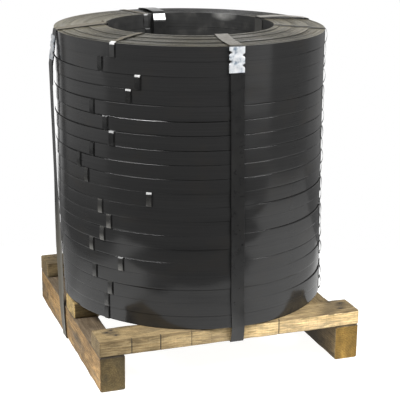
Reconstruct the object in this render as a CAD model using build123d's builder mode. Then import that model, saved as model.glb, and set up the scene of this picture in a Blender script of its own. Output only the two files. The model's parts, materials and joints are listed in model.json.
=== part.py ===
from build123d import *
import os
from math import sin, cos, radians, sqrt

os.makedirs("parts", exist_ok=True)

# ---------------------------------------------------------------- dimensions
# Millimetres. X runs along the deck boards, Y along the stringers towards the
# back, Z up from the floor. The origin is the bottom centre of the whole load.

skid_x, skid_y = 8.0, 1.9          # centre of the timber skid in this frame

# Timber skid: two stringers on edge, three deck boards laid across them.
skid_len = 647.8                   # along X, the length of a deck board
skid_dep = 627.9                   # along Y, the length of a stringer
stringer_h = 86.1
stringer_w_left = 59.7
stringer_w_right = 60.4
board_t = 38.4
board_w = 79.0                     # front and rear boards
mid_board_front = -70.0            # front edge of the middle board, from skid_y
mid_board_w = 84.0
edge = 2.0                         # eased edges of the sawn timber
nail_head_r, nail_head_t = 3.4, 1.0
nail_shank_r, nail_len = 1.7, 76.0
nail_gap = 0.1

# Coils of ribbon-wound steel strapping, stacked flat around one open bore.
n_coils = 20
strap_w = 31.75                    # 1-1/4 in strapping, so also the coil height
bore_r = 203.2                     # 16 in core
coil_r = 326.5
base_gap = 0.6                     # ties of the lowest coil lie on the boards
coil_gap = 1.168                   # two ties lie between each pair of coils
dish = 6.0                         # inner turns of the top coil stand higher
coil_edge = 0.5
# Small shifts of each coil, top to bottom, from the even line of the stack.
jog_x = [0.0, 0.4, -0.5, 0.3, -0.2, 0.6, -0.6, 0.2, -0.4, 0.5,
         -0.3, 0.4, -0.7, 0.3, 0.6, -0.4, 0.5, -0.3, 0.4, 0.0]
jog_y = [0.0, -0.5, 0.3, 0.5, -0.4, 0.2, 0.5, -0.6, 0.4, -0.2,
         0.6, -0.3, 0.2, -0.5, 0.3, 0.5, -0.4, 0.2, -0.3, 0.0]
grow_r = [0.0, -0.6, 0.4, -0.3, 0.2, -0.5, 0.5, -0.2, 0.4, 0.0,
          -0.4, 0.3, -0.6, 0.2, -0.5, 0.4, 0.0, -0.4, 0.3, -0.2]

# Narrow ties that hold each coil closed, three round the wall of every coil.
tie_w, tie_t, tie_gap = 12.7, 0.45, 0.06
tie_front = [-50.2, -56.4, -39.0, -43.1, -60.8, -54.1, -50.6, -61.4, -69.5, -65.1,
             -34.8, -57.6, -53.2, -57.1, -63.7, -48.1, -62.6, -54.1, -56.4, -56.7]
tie_right = [65.0, 63.6, 70.5, 66.9, 61.0, 64.5, 66.4, 60.6, 62.5, 64.9,
             68.2, 62.4, 65.8, 60.9, 63.3, 67.0, 61.4, 64.9, 60.6, 63.3]
tie_back = [-165.5, -167.0, -158.0, -163.0, 179.0, -173.0, -168.0, -179.0, 171.0, 174.0,
            -156.0, -174.0, -172.0, -175.0, 177.0, -166.0, 178.0, -172.0, -176.0, -177.0]

# Four wide straps that tie the stack down to the skid.
band_t, band_gap = 0.8, 1.2
front_band_x = -3.0                # from skid_x
back_band_x = -23.7
left_band_y = 30.0                 # from skid_y
right_band_y = 42.0
left_bow = (-345.0, 700.0)         # the left strap stands off the upper coils

# Pressed seals that close the straps: a channel over the strap, near the top
# of its outer run.
seal_len, seal_w, seal_t = 57.0, 36.0, 1.0
seal_play = 0.1                    # between the seal and the strap
seal_z = {"front_strap": 753.0, "rear_strap": 748.0, "left_strap": 741.0, "right_strap": 745.0}

# ---------------------------------------------------------------- derived
deck_z = stringer_h + board_t
pitch = strap_w + coil_gap
stack_h = n_coils * strap_w + (n_coils - 1) * coil_gap + base_gap


def coil_place(i):
    """Centre x, y, bottom z and outer radius of coil i, 0 at the top."""
    u = (i + 0.5) / n_coils
    cx = skid_x - 7.8 + 12.4 * u - 28.8 * u * (1 - u) + jog_x[i]
    cy = skid_y + 1.05 + 1.3 * u - 27.2 * u * (1 - u) + jog_y[i]
    z = deck_z + base_gap + (n_coils - 1 - i) * pitch
    return cx, cy, z, coil_r + grow_r[i]


def hull(points):
    """Corners of the taut line round a set of points, nearly straight ones left out."""
    pts = sorted(set(points))

    def half(seq):
        out = []
        for p in seq:
            while len(out) > 1:
                (ax, ay), (bx, by) = out[-2], out[-1]
                if (bx - ax) * (p[1] - ay) - (by - ay) * (p[0] - ax) <= 0:
                    out.pop()
                else:
                    break
            out.append(p)
        return out[:-1]

    ring = half(pts) + half(pts[::-1])
    keep, last = [], None
    n = len(ring)
    for k in range(n):
        a, b, c = ring[k - 1], ring[k], ring[(k + 1) % n]
        if last is not None and sqrt((b[0] - last[0]) ** 2 + (b[1] - last[1]) ** 2) < 0.4:
            continue
        d = sqrt((c[0] - a[0]) ** 2 + (c[1] - a[1]) ** 2)
        off = abs((c[0] - a[0]) * (b[1] - a[1]) - (c[1] - a[1]) * (b[0] - a[0])) / d
        if off > 0.02:
            keep.append(b)
            last = b
    return keep


def wall_reach(i, along, sign, across):
    """Where a strap of full width meets the outside and the bore of coil i.

    along is 0 for a strap that runs in X, 1 for one that runs in Y; sign is the
    side it lies on; across is the strap's middle on the other axis.
    """
    cx, cy, z, r = coil_place(i)
    mid, side = (cx, cy) if along == 0 else (cy, cx)
    lo, hi = across - strap_w / 2 - side, across + strap_w / 2 - side
    near = 0.0 if lo < 0 < hi else min(abs(lo), abs(hi))
    far = max(abs(lo), abs(hi))
    return mid + sign * sqrt(r * r - near * near), mid + sign * sqrt(bore_r ** 2 - far * far)


def band_corners(along, sign, across, member, extra=()):
    """Points that a tie-down strap is pulled taut over, in its own plane."""
    pts = list(extra) + list(member)
    for i in range(n_coils):
        out, inn = wall_reach(i, along, sign, across)
        z = coil_place(i)[2]
        up = dish if i == 0 else 0.0
        pts += [(out, z), (out, z + strap_w), (inn, z + up), (inn, z + strap_w + up)]
    return hull(pts)


# ---------------------------------------------------------------- coils
for i in range(n_coils):
    cx, cy, z, r = coil_place(i)
    up = dish if i == 0 else 0.0
    with BuildPart() as coil:
        with BuildSketch(Plane((cx, cy, 0), x_dir=(1, 0, 0), z_dir=(0, -1, 0))):
            with BuildLine():
                Polyline((bore_r, z + up), (r, z), (r, z + strap_w), (bore_r, z + strap_w + up), close=True)
            make_face()
        revolve(axis=Axis((cx, cy, 0), (0, 0, 1)))
        fillet(coil.edges().filter_by(GeomType.CIRCLE), coil_edge)
    coil.part.label = f"coil_{i + 1:02d}"
    export_step(coil.part, f"parts/coil_{i + 1:02d}.step")

# ---------------------------------------------------------------- coil ties
for i in range(n_coils):
    cx, cy, z, r = coil_place(i)
    up = dish if i == 0 else 0.0
    g, t = tie_gap, tie_t
    r_in = sqrt(bore_r ** 2 - (tie_w / 2) ** 2)
    with BuildPart() as ties:
        for angle in (tie_front[i], tie_right[i], tie_back[i]):
            out = (sin(radians(angle)), -cos(radians(angle)), 0)
            side = (cos(radians(angle)), sin(radians(angle)), 0)
            with BuildSketch(Plane((cx, cy, 0), x_dir=out, z_dir=(out[1], -out[0], 0))):
                with BuildLine():
                    Polyline((r_in - g - t, z + up - g - t), (r + g + t, z - g - t),
                             (r + g + t, z + strap_w + g + t), (r_in - g - t, z + strap_w + up + g + t), close=True)
                make_face()
                with BuildLine():
                    Polyline((r_in - g, z + up - g), (r + g, z - g),
                             (r + g, z + strap_w + g), (r_in - g, z + strap_w + up + g), close=True)
                make_face(mode=Mode.SUBTRACT)
            extrude(amount=tie_w / 2, both=True)
    ties.part.label = f"coil_ties_{i + 1:02d}"
    export_step(ties.part, f"parts/coil_ties_{i + 1:02d}.step")

# ---------------------------------------------------------------- skid
x_lo, x_hi = skid_x - skid_len / 2, skid_x + skid_len / 2
y_lo, y_hi = skid_y - skid_dep / 2, skid_y + skid_dep / 2
notch_w, notch_d = strap_w + 2.0, 1.1      # the straps bite this deep into the stringers

board_y = {"front_deck_board": (y_lo, y_lo + board_w),
           "middle_deck_board": (skid_y + mid_board_front, skid_y + mid_board_front + mid_board_w),
           "rear_deck_board": (y_hi - board_w, y_hi)}
stringer_x = {"left_stringer": (x_lo, x_lo + stringer_w_left),
              "right_stringer": (x_hi - stringer_w_right, x_hi)}
band_y = {"left_stringer": skid_y + left_band_y, "right_stringer": skid_y + right_band_y}

nail_spots = []
for a, b in board_y.values():
    for c, d in stringer_x.values():
        m, w = (c + d) / 2, (a + b) / 2
        if w < skid_y - 200 and m < skid_x:
            nail_spots += [(m, w + 13.5), (m + 13, w + 22), (m + 16, w - 8.5)]
        elif w < skid_y - 200:
            nail_spots += [(m - 15.7, w + 31), (m + 5.5, w + 14.5), (m - 8.7, w - 15.5)]
        else:
            nail_spots += [(m - 14, w + 12), (m + 3, w + 20), (m + 13, w - 15)]

for name, (a, b) in board_y.items():
    with BuildPart() as board:
        with BuildSketch(Plane.XY.offset(stringer_h)):
            with Locations((skid_x, (a + b) / 2)):
                Rectangle(skid_len, b - a)
        extrude(amount=board_t)
        chamfer(board.edges().filter_by(Axis.X), edge)
        with BuildSketch(Plane.XY.offset(stringer_h)):
            with Locations(*[p for p in nail_spots if a < p[1] < b]):
                Circle(nail_shank_r + nail_gap)
        extrude(amount=board_t, mode=Mode.SUBTRACT)
        with BuildSketch(Plane.XY.offset(deck_z - nail_head_t - nail_gap)):
            with Locations(*[p for p in nail_spots if a < p[1] < b]):
                Circle(nail_head_r + nail_gap)
        extrude(amount=nail_head_t + nail_gap, mode=Mode.SUBTRACT)
    board.part.label = name
    export_step(board.part, f"parts/{name}.step")

for name, (a, b) in stringer_x.items():
    with BuildPart() as stringer:
        with BuildSketch(Plane.XY):
            with Locations(((a + b) / 2, skid_y)):
                Rectangle(b - a, skid_dep)
        extrude(amount=stringer_h)
        chamfer(stringer.edges().filter_by(Axis.Y), edge)
        with BuildSketch(Plane.XY):
            with Locations(((a + b) / 2, band_y[name])):
                Rectangle(b - a, notch_w)
        extrude(amount=notch_d, mode=Mode.SUBTRACT)
        with BuildSketch(Plane.XY.offset(stringer_h - nail_len + board_t)):
            with Locations(*[p for p in nail_spots if a < p[0] < b]):
                Circle(nail_shank_r + nail_gap)
        extrude(amount=nail_len, mode=Mode.SUBTRACT)
    stringer.part.label = name
    export_step(stringer.part, f"parts/{name}.step")

with BuildPart() as nails:
    with BuildSketch(Plane.XY.offset(deck_z - nail_len + nail_gap)):
        with Locations(*nail_spots):
            Circle(nail_shank_r)
    extrude(amount=nail_len - nail_gap)
    with BuildSketch(Plane.XY.offset(deck_z - nail_head_t)):
        with Locations(*nail_spots):
            Circle(nail_head_r)
    extrude(amount=nail_head_t)
nails.part.label = "nails"
export_step(nails.part, "parts/nails.step")

# ---------------------------------------------------------------- tie-down straps
front_member = [(y_lo, stringer_h), (y_lo + board_w, stringer_h)]
back_member = [(y_hi, stringer_h), (y_hi - board_w, stringer_h)]
floor_line = notch_d + band_gap - 1.0      # keeps the strap inside the notch, clear of the floor
left_member = [(x_lo, floor_line + 1.0), (x_lo + stringer_w_left, floor_line + 1.0)]
right_member = [(x_hi, floor_line + 1.0), (x_hi - stringer_w_right, floor_line + 1.0)]

bands = {
    "front_strap": (1, -1, skid_x + front_band_x, front_member, ()),
    "rear_strap": (1, 1, skid_x + back_band_x, back_member, ()),
    "left_strap": (0, -1, skid_y + left_band_y, left_member, ((skid_x + left_bow[0], left_bow[1]),)),
    "right_strap": (0, 1, skid_y + right_band_y, right_member, ()),
}
for name, (along, sign, across, member, extra) in bands.items():
    corners = band_corners(along, sign, across, member, extra)
    if along == 1:
        plane = Plane((across, 0, 0), x_dir=(0, 1, 0), z_dir=(1, 0, 0))
    else:
        plane = Plane((0, across, 0), x_dir=(1, 0, 0), z_dir=(0, -1, 0))
    with BuildPart() as band:
        with BuildSketch(plane):
            with BuildLine():
                Polyline(*corners, close=True)
            make_face()
            offset(amount=band_gap + band_t, kind=Kind.ARC)
        extrude(amount=strap_w / 2, both=True)
        with BuildSketch(plane):
            with BuildLine():
                Polyline(*corners, close=True)
            make_face()
            offset(amount=band_gap, kind=Kind.ARC)
        extrude(amount=strap_w, both=True, mode=Mode.SUBTRACT)
    band.part.label = name
    export_step(band.part, f"parts/{name}.step")

    # The straight run of the strap that its seal lies on, outside the stack.
    ring = [(corners[k - 1], corners[k]) for k in range(len(corners))]
    ring = [(p, q) for p, q in ring if min(p[1], q[1]) - 1 < seal_z[name] < max(p[1], q[1]) + 1]
    p, q = max(ring, key=lambda pq: sign * (pq[0][0] + pq[1][0]))
    lo, hi = (p, q) if p[1] < q[1] else (q, p)
    k = (seal_z[name] - lo[1]) / (hi[1] - lo[1])
    run = sqrt((hi[0] - lo[0]) ** 2 + (hi[1] - lo[1]) ** 2)
    du, dv = (hi[0] - lo[0]) / run, (hi[1] - lo[1]) / run
    nu, nv = sign * dv, -sign * du                      # square out from the run
    face = band_gap + band_t + seal_play
    su, sv = lo[0] + k * (hi[0] - lo[0]) + nu * face, seal_z[name] + nv * face
    if along == 1:
        seat = Plane((across, su, sv), x_dir=(1, 0, 0), z_dir=(0, nu, nv))
    else:
        seat = Plane((su, across, sv), x_dir=(0, 1, 0), z_dir=(nu, 0, nv))
    with BuildPart() as seal:
        with BuildSketch(seat):
            Rectangle(seal_w, seal_len)
        extrude(amount=seal_t)
        with BuildSketch(seat):
            with Locations((-(seal_w + strap_w) / 4 - seal_play / 2, 0), ((seal_w + strap_w) / 4 + seal_play / 2, 0)):
                Rectangle((seal_w - strap_w) / 2 - seal_play, seal_len)
        extrude(amount=-(band_t + 0.5))
        fillet(seal.edges().filter_by(GeomType.LINE).sort_by_distance(seat.origin + seat.z_dir * 40)[:4], 0.4)
    seal.part.label = name.replace("strap", "seal")
    export_step(seal.part, f"parts/{seal.part.label}.step")
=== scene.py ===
import bpy
import json
import math
import random
import numpy as np
from mathutils import Matrix, Vector, noise

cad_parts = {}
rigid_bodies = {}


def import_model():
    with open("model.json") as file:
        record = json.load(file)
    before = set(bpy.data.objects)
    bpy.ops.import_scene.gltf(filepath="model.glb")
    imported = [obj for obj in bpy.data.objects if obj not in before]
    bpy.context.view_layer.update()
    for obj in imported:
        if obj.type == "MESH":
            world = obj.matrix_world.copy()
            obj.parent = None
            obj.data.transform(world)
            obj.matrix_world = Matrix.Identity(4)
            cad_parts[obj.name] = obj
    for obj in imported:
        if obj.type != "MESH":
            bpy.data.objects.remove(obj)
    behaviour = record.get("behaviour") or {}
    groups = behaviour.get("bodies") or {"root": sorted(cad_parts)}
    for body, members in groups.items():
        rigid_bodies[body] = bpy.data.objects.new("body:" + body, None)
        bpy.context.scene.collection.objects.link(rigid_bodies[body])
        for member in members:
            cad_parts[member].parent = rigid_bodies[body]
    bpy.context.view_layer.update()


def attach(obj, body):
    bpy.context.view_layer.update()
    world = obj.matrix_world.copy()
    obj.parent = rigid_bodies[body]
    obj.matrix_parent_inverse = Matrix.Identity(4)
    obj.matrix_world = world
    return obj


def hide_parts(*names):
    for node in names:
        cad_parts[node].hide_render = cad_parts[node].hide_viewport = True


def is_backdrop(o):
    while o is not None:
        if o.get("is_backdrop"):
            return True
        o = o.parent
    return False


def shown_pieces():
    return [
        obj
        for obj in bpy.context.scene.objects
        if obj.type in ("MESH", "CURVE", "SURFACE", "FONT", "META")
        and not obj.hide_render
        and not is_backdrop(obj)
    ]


for old in list(bpy.data.objects):
    bpy.data.objects.remove(old)
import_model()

# ------------------------------------------------------------------ sizes, mm
SKX, SKY = 8.0, 1.9
SKID_LEN, SKID_DEP = 647.8, 627.9
STR_H, STR_WL, STR_WR = 86.1, 59.7, 60.4
BOARD_T, BOARD_W, MID_F, MID_W = 38.4, 79.0, -70.0, 84.0
DECK_Z = STR_H + BOARD_T
N = 20
SW, BORE, RO = 31.75, 203.2, 326.5
BASE_GAP, GAP, DISH = 0.6, 1.168, 6.0
PITCH = SW + GAP
JX = [0.0, 0.4, -0.5, 0.3, -0.2, 0.6, -0.6, 0.2, -0.4, 0.5, -0.3, 0.4, -0.7, 0.3, 0.6, -0.4, 0.5, -0.3, 0.4, 0.0]
JY = [0.0, -0.5, 0.3, 0.5, -0.4, 0.2, 0.5, -0.6, 0.4, -0.2, 0.6, -0.3, 0.2, -0.5, 0.3, 0.5, -0.4, 0.2, -0.3, 0.0]
GR = [0.0, -0.6, 0.4, -0.3, 0.2, -0.5, 0.5, -0.2, 0.4, 0.0, -0.4, 0.3, -0.6, 0.2, -0.5, 0.4, 0.0, -0.4, 0.3, -0.2]
TIE_F = [-50.2, -56.4, -39.0, -43.1, -60.8, -54.1, -50.6, -61.4, -69.5, -65.1,
         -34.8, -57.6, -53.2, -57.1, -63.7, -48.1, -62.6, -54.1, -56.4, -56.7]
TIE_R = [65.0, 63.6, 70.5, 66.9, 61.0, 64.5, 66.4, 60.6, 62.5, 64.9,
         68.2, 62.4, 65.8, 60.9, 63.3, 67.0, 61.4, 64.9, 60.6, 63.3]
TIE_B = [-165.5, -167.0, -158.0, -163.0, 179.0, -173.0, -168.0, -179.0, 171.0, 174.0,
         -156.0, -174.0, -172.0, -175.0, 177.0, -166.0, 178.0, -172.0, -176.0, -177.0]
FRONT_X, BACK_X, LEFT_Y, RIGHT_Y = -3.0, -23.7, 30.0, 42.0
X_LO, X_HI = SKX - SKID_LEN / 2, SKX + SKID_LEN / 2
Y_LO, Y_HI = SKY - SKID_DEP / 2, SKY + SKID_DEP / 2


def coil_place(i):
    u = (i + 0.5) / N
    cx = SKX - 7.8 + 12.4 * u - 28.8 * u * (1 - u) + JX[i]
    cy = SKY + 1.05 + 1.3 * u - 27.2 * u * (1 - u) + JY[i]
    z = DECK_Z + BASE_GAP + (N - 1 - i) * PITCH
    return cx, cy, z, RO + GR[i]


# ------------------------------------------------------------------ mesh helpers
def add_mesh(name, verts, faces, mats, face_mat=None, smooth=True, attr=None, sharp=None):
    """A mesh object from millimetre points; attr holds per-point numbers for the shaders."""
    v = np.asarray(verts, float)
    f = [tuple(int(k) for k in q) for q in faces]
    vol = 0.0
    for q in f:
        a = v[q[0]]
        for k in range(1, len(q) - 1):
            vol += float(np.dot(a, np.cross(v[q[k]], v[q[k + 1]])))
    if vol < 0:
        f = [q[::-1] for q in f]
    me = bpy.data.meshes.new(name)
    me.from_pydata((v * 0.001).tolist(), [], f)
    for m in mats:
        me.materials.append(m)
    if face_mat is not None:
        me.polygons.foreach_set("material_index", np.asarray(face_mat, np.int32))
    me.polygons.foreach_set("use_smooth", [bool(smooth)] * len(f))
    for key, vals in (attr or {}).items():
        at = me.attributes.new(key, "FLOAT", "POINT")
        at.data.foreach_set("value", np.asarray(vals, np.float32))
    me.update()
    ob = bpy.data.objects.new(name, me)
    bpy.context.scene.collection.objects.link(ob)
    if smooth and sharp is not None:
        me.set_sharp_from_angle(angle=math.radians(sharp))
    return ob


def piece(ob, slot, *nodes):
    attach(ob, "root")
    if nodes:
        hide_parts(*nodes)
    return ob


def ring_faces(rows, cols, close_rows=True, close_cols=True):
    """Quads of a grid of rows by cols points, wrapped where asked."""
    out = []
    for r in range(rows if close_rows else rows - 1):
        r2 = (r + 1) % rows
        for c in range(cols if close_cols else cols - 1):
            c2 = (c + 1) % cols
            out.append((r * cols + c, r2 * cols + c, r2 * cols + c2, r * cols + c2))
    return out


# ------------------------------------------------------------------ shader helpers
class Shade:
    def __init__(self, name):
        self.mat = bpy.data.materials.new(name)
        self.mat.use_nodes = True
        self.t = self.mat.node_tree
        self.t.nodes.clear()
        self.out = self.t.nodes.new("ShaderNodeOutputMaterial")
        self.b = self.t.nodes.new("ShaderNodeBsdfPrincipled")
        self.t.links.new(self.b.outputs[0], self.out.inputs[0])

    def n(self, kind, **props):
        node = self.t.nodes.new(kind)
        for k, v in props.items():
            setattr(node, k, v)
        return node

    def put(self, sock, val):
        if isinstance(val, bpy.types.NodeSocket):
            self.t.links.new(val, sock)
        elif isinstance(val, (tuple, list)) and sock.type == "RGBA" and len(val) == 3:
            sock.default_value = (*val, 1.0)
        else:
            sock.default_value = val

    def coord(self):
        return self.n("ShaderNodeTexCoord").outputs["Object"]

    def math(self, op, a, b=None, clamp=False):
        m = self.n("ShaderNodeMath", operation=op, use_clamp=clamp)
        self.put(m.inputs[0], a)
        if b is not None:
            self.put(m.inputs[1], b)
        return m.outputs[0]

    def vmul(self, vec, s):
        m = self.n("ShaderNodeVectorMath", operation="MULTIPLY")
        self.put(m.inputs[0], vec)
        m.inputs[1].default_value = s
        return m.outputs[0]

    def vadd(self, vec, s):
        m = self.n("ShaderNodeVectorMath", operation="ADD")
        self.put(m.inputs[0], vec)
        self.put(m.inputs[1], s)
        return m.outputs[0]

    def split(self, vec):
        s = self.n("ShaderNodeSeparateXYZ")
        self.put(s.inputs[0], vec)
        return s.outputs

    def join(self, x, y, z):
        s = self.n("ShaderNodeCombineXYZ")
        for k, v in enumerate((x, y, z)):
            self.put(s.inputs[k], v)
        return s.outputs[0]

    def noise(self, vec, scale=1.0, detail=3.0, rough=0.55, dist=0.0):
        t = self.n("ShaderNodeTexNoise")
        self.put(t.inputs["Vector"], vec)
        t.inputs["Scale"].default_value = scale
        t.inputs["Detail"].default_value = detail
        t.inputs["Roughness"].default_value = rough
        t.inputs["Distortion"].default_value = dist
        return t.outputs["Fac"]

    def ramp(self, fac, stops, smooth=False):
        r = self.n("ShaderNodeValToRGB")
        if smooth:
            r.color_ramp.interpolation = "EASE"
        el = r.color_ramp.elements
        while len(el) > 1:
            el.remove(el[-1])
        for k, (p, c) in enumerate(stops):
            e = el[0] if k == 0 else el.new(p)
            e.position = p
            c = (c, c, c) if isinstance(c, (int, float)) else c
            e.color = (*c, 1.0)
        self.put(r.inputs[0], fac)
        return r.outputs[0]

    def mix(self, fac, a, b, blend="MIX"):
        m = self.n("ShaderNodeMix", data_type="RGBA", blend_type=blend)
        self.put(m.inputs[0], fac)
        self.put(m.inputs[6], a)
        self.put(m.inputs[7], b)
        return m.outputs[2]

    def attr(self, name):
        return self.n("ShaderNodeAttribute", attribute_name=name).outputs["Fac"]

    def bump(self, height, strength, dist, normal=None):
        m = self.n("ShaderNodeBump")
        m.inputs["Strength"].default_value = strength
        m.inputs["Distance"].default_value = dist
        self.put(m.inputs["Height"], height)
        if normal is not None:
            self.put(m.inputs["Normal"], normal)
        return m.outputs[0]

    def set(self, **kw):
        names = {"color": "Base Color", "rough": "Roughness", "metal": "Metallic", "normal": "Normal",
                 "coat": "Coat Weight", "coat_rough": "Coat Roughness", "spec": "Specular IOR Level", "ior": "IOR"}
        for k, v in kw.items():
            self.put(self.b.inputs[names[k]], v)
        return self.mat


def coil_side_material():
    """Glossy black paint on the flat of the strap, faintly streaked along its length."""
    s = Shade("coil_paint")
    o = s.coord()
    streak = s.noise(s.vmul(o, (5, 5, 900)), 1.0, 4, 0.6)
    cloud = s.noise(s.vmul(o, (9, 9, 14)), 1.0, 4, 0.6)
    blot = s.noise(s.vmul(o, (40, 40, 90)), 1.0, 5, 0.65)
    base = s.ramp(streak, [(0.3, (0.0205, 0.0205, 0.0208)), (0.7, (0.0290, 0.0290, 0.0288))])
    col = s.mix(s.ramp(cloud, [(0.52, 0.0), (0.80, 0.5)]), base, (0.034, 0.030, 0.025))
    col = s.mix(s.ramp(blot, [(0.68, 0.0), (0.80, 0.4)]), col, (0.05, 0.05, 0.05))
    bare = s.attr("edge")
    edge = s.ramp(bare, [(0.12, 0.0), (0.18, 1.0)])
    shine = s.math("MULTIPLY", bare, 0.25)
    col = s.mix(edge, col, s.join(shine, shine, shine))
    rough = s.ramp(s.noise(s.vmul(o, (14, 14, 260)), 1.0, 4, 0.6), [(0.3, 0.12), (0.75, 0.20)])
    nb = s.bump(streak, 0.05, 0.0004)
    nb = s.bump(s.noise(s.vmul(o, (16, 16, 30)), 1.0, 2, 0.5), 0.03, 0.004, nb)
    nb = s.bump(s.noise(s.vmul(o, (34, 34, 3)), 1.0, 3, 0.6), 0.05, 0.0016, nb)
    return s.set(color=col, rough=rough, normal=nb, spec=0.5, metal=edge)


def gap_material():
    """Painted shade: near-black colour on the slit edges between one coil and the next, where the gaps lie in shade.
    """
    s = Shade("coil_gap_painted_shade")
    a = s.noise(s.vmul(s.coord(), (60, 60, 60)), 1.0, 4, 0.6)
    return s.set(color=s.ramp(a, [(0.3, (0.006, 0.006, 0.006)), (0.7, (0.013, 0.0125, 0.012))]), rough=s.ramp(a, [(0.3, 0.7), (0.7, 0.9)]), spec=0.15)


def bore_material():
    """The inside of the bore: the same paint, scuffed and duller."""
    s = Shade("bore_paint")
    o = s.coord()
    streak = s.noise(s.vmul(o, (6, 6, 500)), 1.0, 4, 0.6)
    scuff = s.noise(s.vmul(o, (30, 30, 30)), 1.0, 5, 0.65)
    col = s.ramp(streak, [(0.3, (0.019, 0.019, 0.019)), (0.7, (0.030, 0.030, 0.029))])
    col = s.mix(s.ramp(scuff, [(0.52, 0.0), (0.75, 0.6)]), col, (0.060, 0.057, 0.052))
    # painted highlight: a pale patch under the far rim stands in for a glint there
    px, py, pz = s.split(s.vmul(s.vadd(o, (-0.143, -0.146, -0.784)), (26.0, 26.0, 62.0)))
    reach = s.math("SQRT", s.math("ADD", s.math("ADD", s.math("MULTIPLY", px, px), s.math("MULTIPLY", py, py)), s.math("MULTIPLY", pz, pz)))
    painted_sheen = s.math("MULTIPLY", s.ramp(reach, [(0.35, 1.0), (1.0, 0.0)]), s.ramp(scuff, [(0.30, 0.35), (0.60, 1.0)]))
    col = s.mix(s.math("MULTIPLY", painted_sheen, 0.9), col, (0.24, 0.238, 0.228))
    return s.set(color=col, rough=s.ramp(scuff, [(0.3, 0.30), (0.7, 0.48)]), normal=s.bump(scuff, 0.08, 0.0008), spec=0.5)


def coil_end_material(cx, cy, name):
    """Slit edges of the wound turns: each turn a little lighter or darker than the next; the far side of the ring
    carries painted shade and its left and right sides a painted sheen.
    """
    s = Shade(name)
    o = s.coord()
    x, y, z = s.split(s.vadd(o, (-cx * 0.001, -cy * 0.001, 0.0)))
    r = s.math("SQRT", s.math("ADD", s.math("MULTIPLY", x, x), s.math("MULTIPLY", y, y)))
    ux, uy = s.math("DIVIDE", x, r), s.math("DIVIDE", y, r)
    fine = s.noise(s.join(s.math("MULTIPLY", r, 1500.0), s.math("MULTIPLY", ux, 3.0), s.math("MULTIPLY", uy, 3.0)), 1.0, 3, 0.7)
    band = s.noise(s.join(s.math("MULTIPLY", r, 260.0), s.math("MULTIPLY", ux, 1.6), s.math("MULTIPLY", uy, 1.6)), 1.0, 3, 0.6)
    patch = s.noise(s.vmul(o, (11, 11, 11)), 1.0, 3, 0.6)
    wide = s.noise(s.join(s.math("MULTIPLY", r, 125.0), s.math("MULTIPLY", ux, 1.2), s.math("MULTIPLY", uy, 1.2)), 1.0, 3, 0.65)
    col = s.ramp(fine, [(0.25, (0.034, 0.031, 0.022)), (0.5, (0.104, 0.095, 0.068)), (0.75, (0.235, 0.216, 0.155))])
    col = s.mix(s.ramp(band, [(0.36, 0.8), (0.55, 0.0)]), col, (0.040, 0.037, 0.030))
    col = s.mix(s.ramp(patch, [(0.5, 0.0), (0.8, 0.45)]), col, (0.17, 0.135, 0.085))
    col = s.mix(1.0, col, s.ramp(wide, [(0.32, 0.45), (0.50, 0.92), (0.68, 1.5)]), "MULTIPLY")
    # painted shade and painted sheen: the far side of the ring is painted dark and less glossy, the left and right
    # sides paler and warmer
    back = s.math("ADD", s.math("MULTIPLY", ux, 0.12), s.math("MULTIPLY", uy, 0.99))
    left = s.ramp(s.math("ADD", s.math("MULTIPLY", ux, -0.866), s.math("MULTIPLY", uy, 0.5)), [(0.62, 0.0), (0.90, 1.0)])
    right = s.ramp(s.math("ADD", s.math("MULTIPLY", ux, 0.97), s.math("MULTIPLY", uy, -0.2)), [(0.80, 0.0), (0.97, 1.0)])
    painted_far_shade = s.ramp(s.math("ADD", s.math("MULTIPLY", back, 0.5), 0.5), [(0.60, 0.0), (0.84, 0.97)])
    painted_far_shade = s.math("MULTIPLY", painted_far_shade, s.math("SUBTRACT", 1.0, s.math("MULTIPLY", left, 0.85)))
    col = s.mix(painted_far_shade, col, (0.009, 0.009, 0.008))
    col = s.mix(s.math("MULTIPLY", left, 0.55), col, (0.205, 0.185, 0.128))
    col = s.mix(s.math("MULTIPLY", right, 0.40), col, (0.165, 0.147, 0.100))
    nb = s.bump(fine, 0.35, 0.0005)
    return s.set(color=col, rough=s.ramp(band, [(0.3, 0.34), (0.8, 0.52)]), normal=nb, spec=s.math("SUBTRACT", 0.2, s.math("MULTIPLY", painted_far_shade, 0.14)))


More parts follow.
